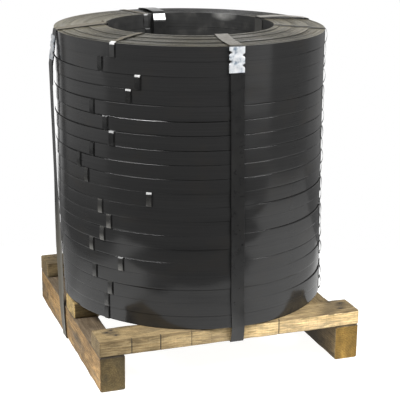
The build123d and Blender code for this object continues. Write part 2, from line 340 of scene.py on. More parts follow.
def strap_material(name, dark, lift, dull=0.0, low=None):
    """Black painted strap with bare bright metal where the paint has cracked or rubbed; that bright metal is also a
    painted highlight on the rear strap's bend and the tie bends, and upward faces take a tan layer of dust and painted
    sheen.
    """
    s = Shade(name)
    o = s.coord()
    a = s.noise(s.vmul(o, (60, 60, 60)), 1.0, 5, 0.65)
    b = s.noise(s.vmul(o, (8, 8, 8)), 1.0, 3, 0.6)
    base = s.ramp(a, [(0.3, tuple(dark * k for k in (0.9, 0.9, 0.92))), (0.75, tuple(dark * k for k in (1.3, 1.3, 1.26)))])
    base = s.mix(s.ramp(b, [(0.5, 0.0), (0.8, 0.5)]), base, (lift, lift * 0.97, lift * 0.9))
    if low:
        base = s.mix(s.ramp(s.split(o)[2], [(0.20, 1.0), (0.36, 0.0)]), base, low)
    # painted highlight: the pale attribute paints the left strap's near edge and the right strap's run in the bore
    # paler; on the ties it paints their ends paler
    base = s.mix(s.attr("pale"), base, (0.20, 0.195, 0.18))
    # dust and painted sheen: upward faces take a tan layer, dust together with the sheen of the strap tops seen low
    # against the light
    up = s.split(s.n("ShaderNodeNewGeometry").outputs["Normal"])[2]
    dust_and_sheen_cover = s.math("MULTIPLY", s.ramp(up, [(0.70, 0.0), (0.95, 0.85)]), s.attr("dust_and_sheen"))
    base = s.mix(dust_and_sheen_cover, base, (0.150, 0.132, 0.098))
    # wear and painted highlight: real paint wear at the tie bends, and a painted highlight on the rear strap's bend
    # and the tie bends
    wear_and_painted_light = s.attr("wear_and_painted_light")
    ragged = s.math("ADD", wear_and_painted_light, s.math("MULTIPLY", s.math("SUBTRACT", a, 0.5), 0.55))
    bare = s.ramp(ragged, [(0.42, 0.0), (0.62, 1.0)])
    col = s.mix(bare, base, s.ramp(b, [(0.42, (0.55, 0.55, 0.55)), (0.58, (0.78, 0.78, 0.77))]))
    rough = s.ramp(a, [(0.3, 0.24 + dull), (0.75, 0.40 + dull)])
    return s.set(color=col, rough=rough, metal=s.math("MULTIPLY", bare, 0.25), normal=s.bump(a, 0.05, 0.0006), spec=0.5 - 0.8 * max(0.0, dull))


def seal_material(name, k):
    s = Shade(name)
    o = s.coord()
    a = s.noise(s.vmul(o, (70, 70, 70)), 1.0, 4, 0.6)
    b = s.noise(s.vmul(o, (420, 420, 420)), 1.0, 3, 0.7)
    col = s.ramp(a, [(0.34, (0.25 * k, 0.31 * k, 0.38 * k)), (0.47, (0.74 * k, 0.775 * k, 0.81 * k)), (0.66, (0.95 * k, 0.955 * k, 0.96 * k))])
    # painted shade: the crimped notches are painted dark
    col = s.mix(s.attr("wear_and_painted_light"), col, (0.05, 0.05, 0.055))
    return s.set(color=col, rough=s.ramp(b, [(0.3, 0.30), (0.7, 0.5)]), metal=0.3, normal=s.bump(b, 0.15, 0.0005), spec=0.6)


def wood_material(name, axis, pale, mid, dark, grey, seed=0.0, ring=(0.0, 0.0), stain_at=0.5, mottle=1.0):
    """Weathered rough-sawn pine: late-wood bands, fibres, saw marks, flecks, stains and dirt, with painted shade
    carried in the tone and stain attributes.
    """
    s = Shade(name)
    o = s.vadd(s.coord(), (seed, seed * 0.37, seed * 0.71))
    x, y, z = s.split(o)
    run, c1, c2 = (x, y, z) if axis == 0 else (y, x, z)

    def grain(a, b, detail=4, rough=0.6):
        return s.noise(s.join(s.math("MULTIPLY", run, a), s.math("MULTIPLY", c1, b), s.math("MULTIPLY", c2, b)), 1.0, detail, rough)

    wob = grain(5.0, 18.0, 3, 0.5)
    # growth rings about a pith line outside the timber
    dy = s.math("ADD", c1, ring[0] - (seed * 0.37 if axis == 0 else seed))
    dz = s.math("ADD", c2, ring[1] - seed * 0.71)
    rad = s.math("SQRT", s.math("ADD", s.math("MULTIPLY", dy, dy), s.math("MULTIPLY", dz, dz)))
    rad = s.math("ADD", rad, s.math("MULTIPLY", wob, 0.016))
    late = s.math("FRACT", s.math("MULTIPLY", rad, 190.0))
    late = s.ramp(late, [(0.0, 0.0), (0.55, 0.25), (0.86, 1.0), (1.0, 0.0)])
    fib = grain(16.0, 1100.0, 4, 0.7)
    coarse = grain(7.0, 210.0, 4, 0.65)
    stain = grain(6.0, 24.0, 5, 0.65)
    fleck = grain(24.0, 400.0, 4, 0.7)
    saw = grain(330.0, 10.0, 3, 0.6)
    col = s.mix(late, pale, mid)
    col = s.mix(s.ramp(coarse, [(0.40, 0.0), (0.70, 0.8)]), col, mid)
    col = s.mix(s.ramp(fib, [(0.46, 0.0), (0.78, 0.8)]), col, dark)
    col = s.mix(s.ramp(stain, [(stain_at - 0.06, 0.0), (stain_at + 0.20, 0.9)]), col, grey)
    col = s.mix(s.ramp(fleck, [(0.60, 0.0), (0.70, 0.85)]), col, dark)
    col = s.mix(s.ramp(saw, [(0.55, 0.0), (0.80, 0.35)]), col, dark)
    blot = grain(20.0, 60.0, 4, 0.6)
    speck = grain(42.0, 380.0, 4, 0.75)
    amount = s.ramp(blot, [(0.30, 1 - 0.48 * mottle), (0.50, 1.0), (0.72, 1 + 0.42 * mottle)])
    col = s.mix(1.0, col, amount, "MULTIPLY")
    col = s.mix(1.0, col, s.ramp(speck, [(0.30, 1 - 0.5 * mottle), (0.50, 1.0), (0.70, 1 + 0.4 * mottle)]), "MULTIPLY")
    scuff = grain(13.0, 42.0, 5, 0.7)
    col = s.mix(s.ramp(scuff, [(0.56, 0.0), (0.70, 0.75)]), col, tuple(min(0.8, k * 1.25) for k in pale))
    # tone and stain attributes: real tone and stains, together with painted shade on the middle board's front face,
    # the right stringer's inner side, and where boards and stringers meet
    tone = s.attr("tone")
    col = s.mix(1.0, col, s.join(tone, tone, tone), "MULTIPLY")
    dirt_and_painted_shade = s.math("ADD", s.attr("stain"), s.math("MULTIPLY", s.math("SUBTRACT", coarse, 0.5), 0.5))
    col = s.mix(s.ramp(dirt_and_painted_shade, [(0.22, 0.0), (0.85, 0.92)]), col, (0.045, 0.036, 0.026))
    col = s.mix(s.math("MULTIPLY", s.attr("edge"), 0.75), col, dark)
    h = s.math("ADD", s.math("MULTIPLY", fib, 0.7), s.math("MULTIPLY", late, 0.35))
    nb = s.bump(h, 0.6, 0.0014)
    nb = s.bump(saw, 0.30, 0.0012, nb)
    return s.set(color=col, rough=s.ramp(fib, [(0.3, 0.60), (0.7, 0.82)]), normal=nb, spec=0.3)


def nail_material():
    s = Shade("nail_steel")
    o = s.coord()
    a = s.noise(s.vmul(o, (300, 300, 300)), 1.0, 4, 0.6)
    col = s.ramp(a, [(0.35, (0.05, 0.042, 0.035)), (0.65, (0.13, 0.10, 0.075))])
    return s.set(color=col, rough=s.ramp(a, [(0.3, 0.45), (0.7, 0.7)]), metal=0.6, normal=s.bump(a, 0.3, 0.0004))


paint = coil_side_material()
bore_mat = bore_material()
gap_shade_mat = gap_material()
tie_mat = strap_material("tie_paint", 0.016, 0.030, -0.06)
top_tie_mat = strap_material("tie_paint_top", 0.030, 0.060, 0.30)
band_mat = strap_material("strap_paint", 0.014, 0.030)
side_mat = strap_material("left_strap_paint", 0.030, 0.060, 0.26, (0.115, 0.105, 0.082))
zinc = seal_material("seal_zinc", 1.0)
# painted shade: a darker copy of the zinc for the left seal
zinc_painted_shade = seal_material("seal_zinc_painted_shade", 0.42)
nail_mat = nail_material()
DARK = (0.055, 0.033, 0.014)
wood_front = wood_material("front_board_pine", 0, (0.60, 0.455, 0.24), (0.40, 0.275, 0.125), DARK, (0.25, 0.195, 0.125), 0.0, (0.36, -0.02), 0.54, 0.72)
wood_mid = wood_material("middle_board_pine", 0, (0.55, 0.40, 0.165), (0.38, 0.25, 0.09), DARK, (0.20, 0.15, 0.07), 1.3, (0.10, -0.05))
wood_rear = wood_material("rear_board_pine", 0, (0.31, 0.23, 0.115), (0.205, 0.143, 0.064), DARK, (0.132, 0.108, 0.063), 2.1, (-0.22, -0.03))
wood_left = wood_material("left_stringer_pine", 1, (0.47, 0.300, 0.125), (0.275, 0.158, 0.062), DARK, (0.135, 0.108, 0.075), 3.7, (0.27, -0.13), 0.49, 0.95)
top_left = wood_material("left_stringer_top", 1, (0.235, 0.180, 0.120), (0.170, 0.124, 0.080), DARK, (0.150, 0.126, 0.096), 7.7, (0.27, -0.13), 0.5, 0.6)
side_right = wood_material("right_stringer_side", 1, (0.44, 0.330, 0.170), (0.290, 0.205, 0.098), DARK, (0.190, 0.150, 0.090), 8.3, (-0.25, 0.05), 0.52, 0.8)
wood_right = wood_material("right_stringer_pine", 1, (0.52, 0.325, 0.075), (0.37, 0.21, 0.044), DARK, (0.23, 0.145, 0.042), 5.2, (-0.25, 0.05), 0.58, 0.45)
end_left = wood_material("left_stringer_end", 1, (0.275, 0.205, 0.088), (0.185, 0.130, 0.050), DARK, (0.135, 0.110, 0.060), 6.4, (0.30, -0.04), 0.5, 0.75)

# ------------------------------------------------------------------ coils
rnd = random.Random(7)
TURNS = 140
TSTEP = [(0.10, 1.4, 0.5), (0.36, 1.6, 2.2), (0.67, 1.9, 0.9), (0.92, 1.1, 3.4)]
TJIT = [(rnd.uniform(-0.22, 0.22), rnd.uniform(0.05, 0.28), rnd.uniform(0, 6.28)) for _ in range(TURNS)]


def top_rise(k, a):
    """Height of turn k of the top coil over the flat of its outer turn, at angle a."""
    f = (k + 0.5) / TURNS
    h = 0.6 * (1 - f)
    for fs, amp, ph in TSTEP:
        if f < fs:
            h += amp * (0.78 + 0.42 * math.sin(a + ph))
    j0, j1, ph = TJIT[k]
    return h + j0 + j1 * math.sin(a * 2 + ph)


def angles(i, count):
    """Angles round a coil, with two close together at the end of the outer turn."""
    tail = math.radians(TIE_F[i] + 1.45)
    a = [2 * math.pi * k / count - math.pi for k in range(count)]
    a = [t for t in a if abs(t - tail) > 0.012]
    return sorted(a + [tail - 0.0012, tail + 0.0012]), tail


def outer_r(i, a, tail):
    """Radius of the outer face: a spiral of one strap thickness with its end at the tie."""
    r = coil_place(i)[3]
    turn = ((tail - a) % (2 * math.pi)) / (2 * math.pi)
    ph = i * 1.7
    return r - 0.45 * turn + 1.25 * math.exp(-turn * 2 * math.pi * r / 22.0) + 0.16 * math.sin(3 * a + ph) + 0.10 * math.sin(7 * a + 2.1 * ph)


BARE = [0.0, 0.0, 0.0, 0.0, 0.16, 1.0, 0.20, 0.28, 0.33, 0.27, 0.0, 0.0, 0.0, 0.24, 0.0, 0.28, 0.0, 0.26, 0.0, 0.0]
ROUND = [0.35, 0.25, 0.35, 0.35, 0.60, 1.0, 0.70, 0.85, 0.9, 0.9, 0.60, 0.50, 0.35, 0.8, 0.3, 0.8, 0.3, 0.8, 0.35, 0.3]
# how flush each coil lies with the one above it, across the front
FLUSH = [0.0, 0.97, 0.97, 0.9, 0.5, 0.2, 0.3, 0.3, 0.3, 0.3, 0.8, 0.9, 0.94, 0.96, 0.97, 0.96, 0.97, 0.96, 0.98, 0.98]


def flush(i, a):
    if not 0 < i < N:
        return 0.0
    d = math.degrees(a)
    up = min(1.0, max(0.0, (d + 33.0) / 10.0 if BARE[i] else (d + {1: 105.0, 2: 78.0}.get(i, 58.0)) / 20.0))
    dn = min(1.0, max(0.0, (14.0 - d) / 10.0 if BARE[i] or i in (10, 11) else (44.0 - d) / 24.0))
    return FLUSH[i] * min(up * up * (3 - 2 * up), dn * dn * (3 - 2 * dn))


def beside(j, a, cx, cy):
    """Outer face of coil j, as a radius about another coil's middle."""
    x, y = coil_place(j)[:2]
    return outer_r(j, a, math.radians(TIE_F[j] + 1.45)) + (x - cx) * math.sin(a) - (y - cy) * math.cos(a)


for i in range(N):
    cx, cy, z0, r0 = coil_place(i)
    top = i == 0
    A, tail = angles(i, 286 if top else 222)
    cols = []
    rj = random.Random(100 + i)
    low = [rj.uniform(-0.22, 0.22) for _ in range(8)]
    upj = [rj.uniform(-0.22, 0.22) for _ in range(8)]
    e1, e2, e3 = (rj.uniform(0, 6.28) for _ in range(3))
    prof_mat = []
    edge_attr = []
    for a in A:
        R = outer_r(i, a, tail)
        wav = 0.16 * math.sin(a + e1) + 0.10 * math.sin(3 * a + e2)
        wav2 = 0.16 * math.sin(a + e3) + 0.10 * math.sin(4 * a + e1)
        f_up, f_dn = flush(i, a), flush(i + 1, a)
        drop = 0.0 if i == N - 1 else 0.85 if i > 12 else 0.5
        drop += (1.08 - drop) * f_dn if i < N - 1 else 0.0
        zt, zb = z0 + SW + wav * (1 - 0.9 * f_up), z0 + wav2 * (1 - 0.9 * f_dn) - drop
        c = (ROUND[i] if a < 0 else 0.7 * ROUND[i]) * (1 - 0.92 * f_up)
        e = BARE[i] if a < 0 else 0.0
        p = []
        # outer face, bottom to top, with the rounded slit edges of the strap
        cb = (0.4 if i < 3 else 0.75) * (1 - 0.92 * f_dn)
        rt = R + (0.5 * f_up * (beside(i - 1, a, cx, cy) - R) if f_up else 0.0)
        rb = R + (0.5 * f_dn * (beside(i + 1, a, cx, cy) - R) if f_dn else 0.0)
        hb, ht = 2.4 - 2.1 * f_dn, 2.4 - 2.1 * f_up
        wb, wt = 1 - hb / (0.5 * SW), 1 - ht / (0.5 * SW)
        p += [(rb - cb, zb, 0), (rb - 0.30 * cb, zb + 0.30 * cb, 0), (rb, zb + cb, 0), (wb * rb + (1 - wb) * R, zb + hb, 0), (R + 0.10, zb + SW * 0.5, 0),
              (wt * rt + (1 - wt) * R, zt - ht, 0), (rt, zt - c, 0.2 * e), (rt - 0.13 * c, zt - 0.50 * c, e), (rt - 0.50 * c, zt - 0.13 * c, e), (rt - c, zt, e)]
        n_side = len(p)
        if top:
            for k in range(TURNS - 1, -1, -1):
                z = z0 + SW + top_rise(k, a) if k < TURNS - 1 else zt
                p += [(min(BORE + (k + 0.98) * (RO - BORE) / TURNS, R - c - 0.05), z, 0),
                      (min(BORE + (k + 0.06) * (RO - BORE) / TURNS, R - c - 0.15), z, 0)]
            up = top_rise(0, a)
            p += [(BORE + 0.0, z0 + SW + up - 0.6, 0), (BORE, z0 - 0.6, 0), (BORE + 0.6, z0 - 0.9, 0), (BORE + 30, z0, 0)]
        else:
            # the last few turns stand unevenly, the rest of the end is hidden
            for k in range(8):
                r = R - c - 0.4 - 0.88 * k
                p += [(r, zt + upj[k], 0), (r - 0.7, zt + upj[k], 0)]
            p += [(BORE + 40, z0 + SW, 0), (BORE + 6, z0 + SW + 0.15, 0), (BORE + 0.1, z0 + SW + 0.1, 0), (BORE, z0 + SW, 0),
                  (BORE, z0 + 0.6, 0), (BORE + 0.6, z0, 0), (BORE + 6, z0 - 0.1, 0), (BORE + 40, z0, 0)]
            for k in range(7, -1, -1):
                r = R - c - 0.4 - 0.88 * k
                p += [(r - 0.7, zb + low[k], 0), (r, zb + low[k], 0)]
        ca, sa = math.cos(a), math.sin(a)
        cols.append([(cx + r * sa, cy - r * ca, z) for r, z, _ in p])
        edge_attr.append([e for _, _, e in p])
    rows, n = len(A), len(cols[0])
    V = np.array(cols).reshape(-1, 3)
    F = ring_faces(rows, n)
    mat_of = []
    for q in range(rows):
        lap = abs(A[q] - tail + 0.0012) < 1e-6
        for c in range(n):
            side = c < n_side - 1
            if top:
                bore = c == n - 4
            else:
                bore = c == n_side + 16 + 3
            gap = top and n_side < c < n_side + 2 * TURNS and (c - n_side) % 2 == 1
            under = c > n_side + 15 if i == N - 1 else False
            # painted shade: the near-black gap colour goes on the lowest facet of each outer face, on the step at the
            # end of the outer turn and on the coil ends between coils, where the second coil's top shows down the bore
            if (c == 0 and i < N - 1) or (side and lap):
                mat_of.append(3)
            elif side:
                mat_of.append(0)
            elif bore or gap:
                mat_of.append(2)
            elif top:
                mat_of.append(1 if c < n_side + 2 * TURNS + 1 else 3)
            else:
                mat_of.append(1 if under else 3)
    ends = coil_end_material(cx, cy, f"coil_end_{i + 1:02d}") if i in (0, N - 1) else None
    if i not in (0, N - 1):
        ends = shared_end if i > 1 else coil_end_material(cx, cy, "coil_end_inner")
        shared_end = ends
    ob = add_mesh(f"strap_coil_{i + 1:02d}", V, F, [paint, ends, bore_mat, gap_shade_mat], mat_of, True, {"edge": np.array(edge_attr).ravel()}, 38)
    piece(ob, "coil_black", f"coil_{i + 1:02d}")


# ------------------------------------------------------------------ strips
def sweep(points, widths, w, t, wear_and_painted_light, closed=True, chamfer=0.18):
    """A flat strip w wide and t thick along a line of points; widths are its cross directions."""
    P = np.asarray(points, float)
    W = np.asarray(widths, float)
    n = len(P)
    nxt, prv = np.roll(P, -1, 0), np.roll(P, 1, 0)
    if not closed:
        nxt[-1], prv[0] = P[-1], P[0]
    T = nxt - prv
    T /= np.linalg.norm(T, axis=1)[:, None]
    W = W - (W * T).sum(1)[:, None] * T
    W /= np.linalg.norm(W, axis=1)[:, None]
    Nn = np.cross(T, W)
    c = chamfer
    sec = [(-w / 2 + c, -t / 2), (-w / 2, -t / 2 + c), (-w / 2, t / 2 - c), (-w / 2 + c, t / 2),
           (0, t / 2), (w / 2 - c, t / 2), (w / 2, t / 2 - c), (w / 2, -t / 2 + c), (w / 2 - c, -t / 2), (0, -t / 2)]
    V = np.concatenate([[P[k] + a * W[k] + b * Nn[k] for a, b in sec] for k in range(n)])
    m = len(sec)
    F = ring_faces(n, m, closed, True)
    if not closed:
        F += [tuple(range(m)), tuple(range((n - 1) * m, n * m))[::-1]]
    att = np.repeat(np.asarray(wear_and_painted_light, float), m)
    return V, F, att


def join(parts):
    V, F, A, o = [], [], [], 0
    for v, f, a in parts:
        V.append(v)
        A.append(a)
        F += [tuple(k + o for k in q) for q in f]
        o += len(v)
    return np.concatenate(V), F, np.concatenate(A)


# ------------------------------------------------------------------ coil ties
PALE_TIE = {8: 0.1, 9: 0.25, 10: 0.3, 11: 0.7, 12: 0.8, 13: 0.75, 14: 0.7, 15: 0.75, 16: 0.3, 17: 0.45, 18: 0.3}
# wear and painted highlight: BRIGHT sets how much bare bright metal shows at the top bends of the front ties, partly
# real wear and partly a painted highlight
BRIGHT = {0: 1.0, 2: 1.0, 3: 0.95, 5: 0.55, 6: 0.95, 10: 1.0, 12: 0.40, 15: 0.55}
for i in range(N):
    cx, cy, z0, r0 = coil_place(i)
    rj = random.Random(400 + i)
    parts, pales = [], []
    for which, ang in enumerate((TIE_F[i], TIE_R[i], TIE_B[i])):
        a = math.radians(ang)
        out = np.array((math.sin(a), -math.cos(a), 0.0))
        side = np.array((math.cos(a), math.sin(a), 0.0))
        bulge = (rj.uniform(0.9, 1.9), rj.uniform(2.2, 4.4), rj.uniform(1.5, 4.0))[which]
        lean = rj.uniform(-0.35, 0.35)
        R = r0 + (1.4 if which == 0 else 0.5)
        path, wear_and_painted_light, light = [], [], []
        n = 16
        bright = (BRIGHT.get(i, 0.18), rj.uniform(0.0, 0.5), rj.uniform(0.4, 1.0))[which]
        pale = (PALE_TIE.get(i, 0.0), 0.0, 0.3)[which]
        up = top_rise(0, a) if i == 0 else 0.0
        for k in range(n + 1):
            t = k / n
            z = z0 - 0.35 + (SW + 0.7) * t
            r = R + bulge * math.sin(math.pi * t) ** 0.75 * (1 + 0.3 * lean * (t - 0.5))
            path.append((r, z))
            g = max(0.0, (t - 0.80) / 0.2)
            wear_and_painted_light.append(bright * min(1.0, 1.5 * g))
            light.append(pale * max(0.12, 1.0 - 1.6 * t, 5.0 * (t - 0.88)))
        zt = z0 + SW + 0.32
        if i == 0:
            for k in range(0, TURNS, 6):
                f = (TURNS - 1 - k + 0.5) / TURNS
                rr = BORE + f * (RO - BORE)
                hi = max(top_rise(min(TURNS - 1, max(0, TURNS - 1 - k + d)), a) for d in (-6, -3, 0, 3, 6))
                if rr < RO - 2:
                    path.append((rr, zt + hi + 0.15 + (2.7, 0.7, 0.8)[which] * math.sin(math.pi * f) ** 0.6))
                    wear_and_painted_light.append(0.6 * bright if k < 8 else 0.1)
        else:
            for k in range(1, 8):
                path.append((R - (R - BORE) * k / 8, zt))
                wear_and_painted_light.append(0.1)
        zi = zt + up
        path += [(BORE + 2.0, zi + 0.2), (BORE - 0.5, zi - 0.6), (BORE - 1.6, zi - 4)]
        wear_and_painted_light += [bright, bright, bright * 0.8]
        for k in range(1, 6):
            t = k / 6
            path.append((BORE - 0.45 - 1.6 * math.sin(math.pi * t), zi - 4 - (SW - 8) * t))
            wear_and_painted_light.append(0.05)
        path += [(BORE - 0.6, z0 + 0.5 + up), (BORE + 1.5, z0 - 0.32 + up)]
        wear_and_painted_light += [0.0, 0.0]
        for k in range(1, 8):
            path.append((BORE + (R - BORE) * k / 8, z0 - 0.32 + up * (1 - k / 8)))
            wear_and_painted_light.append(0.0)
        P = [np.array((cx, cy, 0.0)) + out * r + np.array((0, 0, z)) for r, z in path]
        parts.append(sweep(P, [side] * len(P), 12.7, 0.46, wear_and_painted_light, True, 0.08))
        pales.append(np.repeat(light + [0.0] * (len(P) - len(light)), len(parts[-1][0]) // len(P)))
    V, F, W = join(parts)
    ob = add_mesh(f"tie_set_{i + 1:02d}", V, F, [top_tie_mat if i == 0 else tie_mat], None, True, {"wear_and_painted_light": W, "pale": np.concatenate(pales), "dust_and_sheen": np.concatenate([np.full(len(q[0]), d if i == 0 else 0.0) for q, d in zip(parts, (0.8, 0.15, 0.8))])}, 40)
    piece(ob, "tie_steel", f"coil_ties_{i + 1:02d}")


# ------------------------------------------------------------------ tie-down straps
def hull(points):
    pts = sorted(set(points))

    def half(seq):
        out = []
        for p in seq:
            while len(out) > 1:
                (ax, ay), (bx, by) = out[-2], out[-1]
                if (bx - ax) * (p[1] - ay) - (by - ay) * (p[0] - ax) <= 0:
                    out.pop()
                else:
                    break
            out.append(p)
        return out[:-1]

    return half(pts) + half(pts[::-1])


def wall_reach(i, along, sign, across):
    cx, cy, z, r = coil_place(i)
    mid, side = (cx, cy) if along == 0 else (cy, cx)
    lo, hi = across - SW / 2 - side, across + SW / 2 - side
    near = 0.0 if lo < 0 < hi else min(abs(lo), abs(hi))
    far = max(abs(lo), abs(hi))
    return mid + sign * math.sqrt(r * r - near * near), mid + sign * math.sqrt(BORE ** 2 - far * far)


def rounded(corners, d, rad):
    """The taut line round the corners, d outside them, with bends of about rad."""
    n = len(corners)
    out = []
    for k in range(n):
        p, c, q = (np.array(corners[(k + s) % n], float) for s in (-1, 0, 1))
        u, v = (c - p) / np.linalg.norm(c - p), (q - c) / np.linalg.norm(q - c)
        n1, n2 = np.array((u[1], -u[0])), np.array((v[1], -v[0]))
        turn = math.atan2(u[0] * v[1] - u[1] * v[0], float(u @ v))
        steps = max(1, int(abs(math.degrees(turn)) / 9))
        b = (n1 + n2) / np.linalg.norm(n1 + n2)
        # an arc of radius rad that clears the corner by d
        centre = c + b * (d - rad) / max(0.5, math.cos(turn / 2)) if turn > 0.3 else c + b * 0
        use = rad if turn > 0.3 else d
        if turn > 0.3:
            centre = c + b * (d - rad)
        a1 = math.atan2(n1[1], n1[0])
        for s in range(steps + 1):
            a = a1 + turn * s / steps
            out.append(centre + use * np.array((math.cos(a), math.sin(a))))
    return out


def dense(pts, step):
    out = []
    n = len(pts)
    for k in range(n):
        a, b = np.array(pts[k]), np.array(pts[(k + 1) % n])
        m = max(1, int(np.linalg.norm(b - a) / step))
        out += [a + (b - a) * s / m for s in range(m)]
    return out


members = {
    "front_strap": [(Y_LO, STR_H), (Y_LO + BOARD_W, STR_H)],
    "rear_strap": [(Y_HI, STR_H), (Y_HI - BOARD_W, STR_H)],
    "left_strap": [(X_LO, 2.9), (X_LO + STR_WL, 2.9)],
    "right_strap": [(X_HI, 2.9), (X_HI - STR_WR, 2.9)],
}
layout = {"front_strap": (1, -1, SKX + FRONT_X), "rear_strap": (1, 1, SKX + BACK_X),
          "left_strap": (0, -1, SKY + LEFT_Y), "right_strap": (0, 1, SKY + RIGHT_Y)}
Z_TOP = DECK_Z + BASE_GAP + (N - 1) * PITCH + SW


def lerp(v, table):
    for (a, p), (b, q) in zip(table, table[1:]):
        if v <= b:
            return p + (q - p) * min(1.0, max(0.0, (v - a) / (b - a)))
    return table[-1][1]


def step(v, a, b):
    t = min(1.0, max(0.0, (v - a) / (b - a)))
    return t * t * (3 - 2 * t)


def lateral(name, u, z, mid):
    """Sideways wander of a strap along its loop, mm; u is less than mid on the outer run."""
    if name == "front_strap":
        if u < mid:
            return lerp(z, ((86.0, 10.2), (105.0, 9.6), (190.0, 4.0), (430.0, -2.2), (660.0, -6.5), (Z_TOP, -10.0)))
        return -10.0 + 10.0 * min(1.0, max(0.0, (u - mid) / 60.0))
    if name == "left_strap":
        if z > Z_TOP - 1:
            return lerp(u, ((SKX - 334, -14.0), (SKX - 205, 15.0)))
        if u < mid:
            return lerp(z, ((4.0, 0.0), (60.0, 9.0), (200.0, 13.0), (370.0, 8.0), (700.0, -3.0), (Z_TOP, -14.0)))
        return lerp(z, ((4.0, 0.0), (Z_TOP, 15.0)))
    return 0.0


def shaped(name, line, sign, mid):
    """Slack in the straps: arched over the coil end, and a crease at the top of the rear one."""
    out = []
    n = len(line)
    ends = [p[0] for p in line if p[1] > Z_TOP - 3]
    a, b = min(ends), max(ends)
    for k in range(n):
        p, q = line[k], line[(k + 1) % n]
        add = [p]
        if name == "rear_strap" and (mid - p[0]) * sign > 0 and (mid - q[0]) * sign > 0 and max(p[1], q[1]) > Z_TOP - 215:
            marks = [Z_TOP + 6 - d for d in (1.8, 3, 8, 14, 16.8, 17.4, 20.0, 24, 34, 50, 80, 120, 170)]
            cuts_at = [m for m in marks if min(p[1], q[1]) < m < max(p[1], q[1])]
            cuts_at.sort(reverse=bool(p[1] > q[1]))
            add += [p + (q - p) * (m - p[1]) / (q[1] - p[1]) for m in cuts_at]
        out += add
    res, wear_and_painted_light = [], []
    for p in out:
        u, z = float(p[0]), float(p[1])
        w = 0.0
        if z > Z_TOP - 1 and name in ("rear_strap", "right_strap"):
            t = (u - a) / (b - a)
            z += 3.6 * math.sin(math.pi * min(1.0, max(0.0, t)))
        if name == "rear_strap" and (mid - u) * sign > 0 and z < Z_TOP + 6.5:
            d = Z_TOP + 6 - z
            if 0 < d < 200:
                u -= sign * (9.0 * d / 20 if d < 20 else 9.0 * (1 - (d - 20) / 180))
            # painted highlight: this stretch of the rear strap just below the rim is painted as bright bare metal
            if 2.4 < d < 17.0:
                w = 1.0
        res.append(np.array((u, z)))
        wear_and_painted_light.append(w)
    return res, wear_and_painted_light


# how much of the tan layer of dust and painted sheen each strap's upward faces take
DUST_AND_SHEEN = {"front_strap": 0.60, "rear_strap": 0.0, "left_strap": 1.0, "right_strap": 0.9}
strap_line = {}
for name, (along, sign, across) in layout.items():
    pts = list(members[name])
    if name == "left_strap":
        pts.append((SKX - 345.0, 700.0))
    for i in range(N):
        o, b = wall_reach(i, along, sign, across)
        z = coil_place(i)[2]
        up = DISH if i == 0 else 0.0
        pts += [(o, z), (o, z + SW), (b, z + up), (b, z + SW + up)]
    line = dense(rounded(hull(pts), 1.6, 4.5), 24.0)
    mid = sum(p[0] for p in line) / len(line)
    line, wear_and_painted_light = shaped(name, line, sign, mid)
    strap_line[name] = (line, mid)
    P, W = [], []
    for u, z in line:
        s = lateral(name, u if sign < 0 else -u, z, mid if sign < 0 else -mid)
        if along == 1:
            P.append((across + s, u, z))
            W.append((1, 0, 0))
        else:
            inner = (mid - u) * sign > 0
            lie = min(1.0, max(0.0, (Z_TOP + DISH + 3.0 - z) / 5.0)) if inner else 0.0
            off = across + s - SKY
            edge_x = math.sqrt(BORE ** 2 - (abs(off) + SW / 2) ** 2)
            u += sign * lie * max(0.0, math.sqrt(BORE ** 2 - off ** 2) - edge_x + 0.6)
            k = lie * math.asin(off / BORE)
            if name == "left_strap" and not inner:
                k = -math.radians(lerp(z, ((0.0, 0.0), (60.0, 3.0), (130.0, 10.0), (240.0, 13.0), (330.0, 8.0), (420.0, 0.0))))
                u += 15.9 * math.sin(k) * (1 - step(z, 86.0, 140.0))
            P.append((u, across + s, z))
            W.append((-sign * math.sin(k), math.cos(k), 0))
    parts = [sweep(P, W, SW, 0.8, wear_and_painted_light)]
    if name == "left_strap":
        # the strap's end hangs a little way out below the seal, on the inside
        T = [(z, lerp(z, ((640.0, 0.6), (714.0, 3.4), (772.0, 1.1)))) for z in np.linspace(652.0, 770.0, 14)]
        run = [p for p in sorted(((float(z), float(u)) for u, z in line if u < mid), key=lambda k: k[0])]
        T = [((lerp(z, run) + off), across + lateral(name, SKX - 340, z, mid), z) for z, off in T]
        parts.append(sweep(T, [(0, 1, 0)] * len(T), SW, 0.8, [0.0] * len(T), False))
    if name == "front_strap":
        # the same here, shorter and a little to one side
        run = sorted(((float(z), float(u)) for u, z in line if u < mid), key=lambda k: k[0])
        T = [(across + lateral(name, Y_LO, z, mid) + 1.6, lerp(z, run) + 0.85, z) for z in np.linspace(686.0, 772.0, 10)]
        parts.append(sweep(T, [(1, 0, 0)] * len(T), SW, 0.8, [0.15] * 4 + [0.0] * 6, False))
    V, F, A = join(parts)
    # painted highlight: the left strap's near edge is painted paler low down
    painted_sheen = np.zeros(len(V))
    if name == "left_strap":
        for k in range(len(P)):
            if P[k][0] < mid and 12.0 < P[k][2] < 420.0:
                painted_sheen[10 * k:10 * k + 4] = 0.6 * (1 - step(P[k][2], 300.0, 420.0))
    # and the right strap's run inside the bore is painted paler all over, painted light that lifts the shade on it
    if name == "right_strap":
        for k in range(len(P)):
            if P[k][0] < mid:
                painted_sheen[10 * k:10 * k + 10] = 0.24 * (1 - step(P[k][2], Z_TOP + 2.0, Z_TOP + 8.0))
    ob = add_mesh("tie_down_" + name, V, F, [side_mat if name == "left_strap" else band_mat], None, True, {"wear_and_painted_light": A, "pale": painted_sheen, "dust_and_sheen": np.full(len(V), DUST_AND_SHEEN[name])}, 40)
    piece(ob, "strap_black", name)


